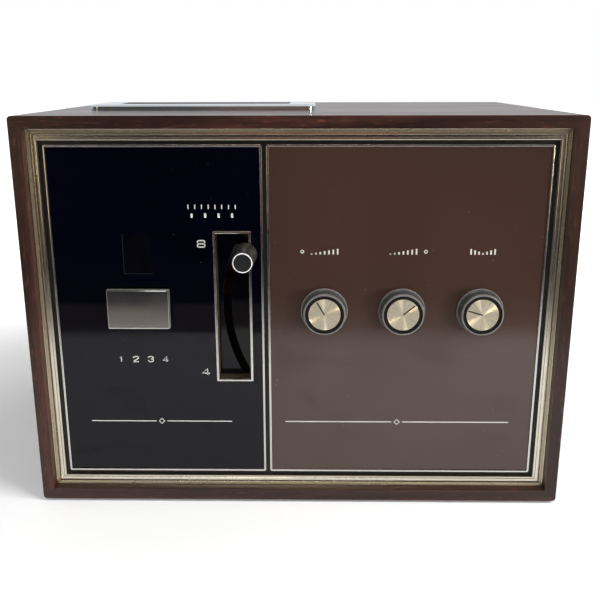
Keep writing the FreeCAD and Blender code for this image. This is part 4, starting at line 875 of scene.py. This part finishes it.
def marks():
    """Plain numbers and bars by the controls, and a rule at the foot of each panel."""
    frame_x0, _, _, _, frame_z0, frame_z1 = span("selector_frame")
    left = frame_x0 - NUMERAL_X
    numeral("mark_eight", 8, left, frame_z1 - 9.0 * MM, 4.1 * MM, NUMERAL_H)
    numeral("mark_four", 4, left, frame_z0 + 3.7 * MM, 4.4 * MM, NUMERAL_H)
    caption = middle("selector_frame")[0] - CAPTION_X
    low, high = frame_z1 + 7.4 * MM, frame_z1 + 12.2 * MM
    bars("mark_eight_tracks", caption, CAPTION_PITCH, [CAPTION_H] * 8, high, 0.55 * MM)
    bars("mark_four_tracks", caption + CAPTION_PITCH * 0.5, CAPTION_PITCH * 2, [CAPTION_H] * 4,
         low, 1.2 * MM)
    x, z = middle("channel_button")
    for i in range(4):
        numeral("mark_channel_%d" % (i + 1), i + 1,
                x + (i - 1.5) * CHANNEL_PITCH - CHANNEL_W / 2, z - CHANNEL_DROP,
                CHANNEL_W, CHANNEL_H, CHANNEL_STROKE)
    x0, x1, _, _, z0, z1 = span("indicator_lens")
    # painted highlight: a line on the lens's left and bottom edges only, standing in for light
    # caught by the edge of its hole
    strokes("lens_edge", [(False, [(x0, z1), (x0, z0), (x1, z0)])], 0.3 * MM, PRINT_Y, "lens_hole_highlight")
    for name, side in (("volume_left", -1), ("volume_right", 1)):
        x, z = middle(name + "_knob")
        rising = [(0.5 + 0.45 * i) * MM for i in range(7)]
        bars("mark_" + name, x - 7.2 * MM, 2.4 * MM, rising, z + KNOB_MARK_RISE, KNOB_MARK_WIDTH)
        dot = circle(x + side * 12.4 * MM, z + 34.0 * MM, 0.8 * MM, 20)
        strokes("mark_%s_side" % name, [(True, dot)], 0.5 * MM, PRINT_Y, "print")
    x, z = middle("tone_knob")
    valley = [(0.9 + 0.75 * abs(i - 3)) * MM for i in range(7)]
    bars("mark_tone", x - 6.6 * MM, 2.2 * MM, valley, z + KNOB_MARK_RISE, KNOB_MARK_WIDTH)
    rule("rule_left", -122 * MM, -39 * MM)
    rule("rule_right", -7.6 * MM, 123.1 * MM)


# ---- camera, light and floor -----------------------------------------------------------------
CAMERA_AT = Vector((7.8, -525.05, 244.8)) * MM
PITCH, YAW, ROLL = math.radians(15.71), math.radians(-0.89), math.radians(-0.12)
FOCAL_PX, PICTURE_PX = 795.8, 600        # focal length and picture width
SENSOR = 36.0                            # mm


def camera():
    """Camera fitted to the cabinet's eight visible corners."""
    data = bpy.data.cameras.new("camera")
    data.sensor_width, data.lens = SENSOR, FOCAL_PX / PICTURE_PX * SENSOR
    data.clip_start, data.clip_end = 0.01, 100
    level = math.cos(PITCH)
    ahead = Vector((math.sin(YAW) * level, math.cos(YAW) * level, -math.sin(PITCH)))
    right = Vector((math.cos(YAW), -math.sin(YAW), 0))
    up = right.cross(ahead)
    turn = Matrix((right, up, -ahead)).transposed() @ Matrix.Rotation(ROLL, 3, "Z")
    obj = bpy.data.objects.new("camera", data)
    obj.matrix_world = Matrix.Translation(CAMERA_AT) @ turn.to_4x4()
    bpy.context.collection.objects.link(obj)
    bpy.context.scene.camera = obj


def lamp(name, place, size, watts, colour, seen_by):
    """Rectangular lamp aimed at the object; it lights either matt surfaces or gloss."""
    data = bpy.data.lights.new(name, "AREA")
    data.shape, data.size, data.size_y = "RECTANGLE", *size
    data.energy, data.color = watts, colour
    obj = bpy.data.objects.new(name, data)
    place = Vector(place)
    obj.location = place
    obj.rotation_euler = (AIM - place).to_track_quat("-Z", "Y").to_euler()
    obj.visible_camera = False
    obj.visible_glossy, obj.visible_diffuse = seen_by == "gloss", seen_by == "matt"
    bpy.context.collection.objects.link(obj)


def flat(name, corners, material, camera_sees, diffuse_sees, glossy_sees):
    """One stage sheet; its three switches say which rays meet it."""
    mesh = bpy.data.meshes.new(name)
    mesh.from_pydata(corners, [], [(0, 1, 2, 3)])
    mesh.materials.append(material)
    obj = bpy.data.objects.new(name, mesh)
    bpy.context.collection.objects.link(obj)
    obj.visible_camera, obj.visible_glossy = camera_sees, glossy_sees
    obj.visible_diffuse = obj.visible_shadow = diffuse_sees


def floor_finish():
    """Pale floor; the camera sees it brighter, and plain white away from the object."""
    n = Nodes("floor")
    n.colour(n.mix(n.noise(n.coords, 3, 3.0), grey(0.78), grey(0.82)))
    n.set(Roughness=1.0, Specular_IOR_Level=0.0)
    seen = n.add("ShaderNodeBsdfDiffuse", Color=grey(0.97))
    distance = n.add("ShaderNodeVectorMath", operation="LENGTH")
    n.link(n.coords, distance.inputs[0])
    glow = n.add("ShaderNodeEmission")
    n.link(n.between(distance.outputs["Value"], 0.22, 0.75, 0.10, 0.9), glow.inputs["Strength"])
    both = n.add("ShaderNodeAddShader")
    swap = n.add("ShaderNodeMixShader")
    path = n.add("ShaderNodeLightPath")
    n.link(seen.outputs[0], both.inputs[0])
    n.link(glow.outputs[0], both.inputs[1])
    n.link(path.outputs["Is Camera Ray"], swap.inputs[0])
    n.link(n.bsdf.outputs[0], swap.inputs[1])
    n.link(both.outputs[0], swap.inputs[2])
    n.surface(swap)
    return n.mat


def wall_finish():
    """Far side of the room, met only by reflections: grey, a warm patch, brown-grey."""
    n = Nodes("room_wall")
    split = n.add("ShaderNodeSeparateXYZ")
    n.link(n.coords, split.inputs[0])
    place = n.between(split.outputs["X"], -1.5, 1.5)
    colour = n.ramp(place, (0.0, srgb(74, 74, 70)), (0.36, srgb(76, 76, 72)),
                    (0.39, srgb(142, 102, 90)), (0.50, srgb(124, 94, 84)),
                    (0.58, srgb(150, 102, 84)), (0.62, srgb(96, 90, 84)),
                    (1.0, srgb(102, 96, 90)))
    light = n.add("ShaderNodeEmission")
    n.link(colour, light.inputs["Color"])
    n.surface(light)
    return n.mat


def glow_finish(name, colour):
    """Sheet that shines in one colour."""
    n = Nodes(name)
    n.surface(n.add("ShaderNodeEmission", Color=colour))
    return n.mat


def world():
    """White to the camera, plain light to matt surfaces, and a studio for gloss: pale behind
    and above the object, dark in front of it."""
    scene_world = bpy.data.worlds.new("studio")
    bpy.context.scene.world = scene_world
    scene_world.use_nodes = True
    tree = scene_world.node_tree
    tree.nodes.clear()
    add = tree.nodes.new
    coords, split = add("ShaderNodeTexCoord"), add("ShaderNodeSeparateXYZ")
    path = add("ShaderNodeLightPath")
    tree.links.new(coords.outputs["Generated"], split.inputs[0])
    ramp = add("ShaderNodeValToRGB")
    stops = ((0.0, srgb(48, 48, 62)), (0.14, srgb(58, 58, 66)), (0.38, srgb(150, 148, 142)),
             (0.60, srgb(190, 190, 190)), (0.80, srgb(235, 235, 238)))
    while len(ramp.color_ramp.elements) < len(stops):
        ramp.color_ramp.elements.new(0.5)
    for element, (place, colour) in zip(ramp.color_ramp.elements, stops):
        element.position, element.color = place, colour
    shift, rise = add("ShaderNodeMapRange"), add("ShaderNodeMath")
    shift.inputs["From Min"].default_value = -1.0
    tree.links.new(split.outputs["Y"], shift.inputs["Value"])
    rise.operation = "MULTIPLY_ADD"
    rise.inputs[1].default_value = 0.25
    tree.links.new(split.outputs["Z"], rise.inputs[0])
    tree.links.new(shift.outputs["Result"], rise.inputs[2])
    tree.links.new(rise.outputs[0], ramp.inputs["Fac"])
    views = []
    for colour, strength in ((grey(1.0), 0.44), (None, 1.0), (grey(1.0), 1.0)):
        view = add("ShaderNodeBackground")
        view.inputs["Strength"].default_value = strength
        if colour:
            view.inputs["Color"].default_value = colour
        else:
            tree.links.new(ramp.outputs["Color"], view.inputs["Color"])
        views.append(view)
    gloss, seen = add("ShaderNodeMixShader"), add("ShaderNodeMixShader")
    tree.links.new(path.outputs["Is Glossy Ray"], gloss.inputs[0])
    tree.links.new(views[0].outputs[0], gloss.inputs[1])
    tree.links.new(views[1].outputs[0], gloss.inputs[2])
    tree.links.new(path.outputs["Is Camera Ray"], seen.inputs[0])
    tree.links.new(gloss.outputs[0], seen.inputs[1])
    tree.links.new(views[2].outputs[0], seen.inputs[2])
    tree.links.new(seen.outputs[0], add("ShaderNodeOutputWorld").inputs["Surface"])


AIM = Vector((0, 0, 0.1))
WHITE = (1, 1, 1)
# name, place, size, watts, colour, and whether matt surfaces or gloss see the lamp
LAMPS = (
    ("key", (0.95, -0.55, 1.3), (0.8, 0.8), 19, WHITE, "matt"),
    ("front_fill", (-0.2, -1.6, 0.9), (0.9, 0.9), 6.6, WHITE, "matt"),
    ("low_fill", (0.80, -0.75, 0.05), (0.28, 0.10), 5.2, WHITE, "matt"),
    ("warm_window", (0.88, -0.62, 0.24), (0.18, 0.18), 3.6, (1.0, 0.86, 0.60), "gloss"),
    ("left_room", (-0.56, -0.89, 0.165), (0.22, 0.27), 0.27, (1.0, 0.80, 0.50), "gloss"),
    ("right_room", (0.56, -0.89, 0.165), (0.22, 0.27), 0.20, (1.0, 0.84, 0.66), "gloss"),
    ("ceiling_card", (-0.10, -0.75, 1.05), (0.40, 0.30), 4.6, (1.0, 1.0, 0.96), "gloss"))
FLOOR_END = 6.0
# sheets that only reflections meet, lying before the front: nearest and farthest distance
REFLECTED = (("table_edge", 0.315, 0.418, srgb(124, 117, 113)),
             ("room_near", 0.418, 0.62, srgb(40, 41, 46)),
             ("room_far", 0.62, FLOOR_END, srgb(28, 29, 40)))
REFLECTED_Z = 0.0006
WALL_AWAY, WALL_HALF_W, WALL_LOW, WALL_HIGH = 2.7, 3, 0.01, 1.2


def studio():
    """World, floor, the sheets and wall that gloss reflects, and the lamps."""
    world()
    end = FLOOR_END
    flat("floor", [(-end, -end, 0), (end, -end, 0), (end, end, 0), (-end, end, 0)],
         floor_finish(), True, True, True)
    for name, near, far, colour in REFLECTED:
        y0, y1, z = PANEL_FRONT - far, PANEL_FRONT - near, REFLECTED_Z
        flat(name, [(-end, y0, z), (end, y0, z), (end, y1, z), (-end, y1, z)],
             glow_finish(name, colour), False, False, True)
    x, y, z0, z1 = WALL_HALF_W, PANEL_FRONT - WALL_AWAY, WALL_LOW, WALL_HIGH
    flat("room_wall", [(-x, y, z0), (x, y, z0), (x, y, z1), (-x, y, z1)],
         wall_finish(), False, False, True)
    for row in LAMPS:
        lamp(*row)


def display():
    """Plain display transform, so that a colour shows as it is written."""
    bpy.context.scene.view_settings.view_transform = "Standard"


dress_cad_nodes()
trim()
panels()
push_button()
selector_window()
selector_tip()
for knob_name in KNOBS:
    knob(knob_name)
marks()
camera()
display()
studio()
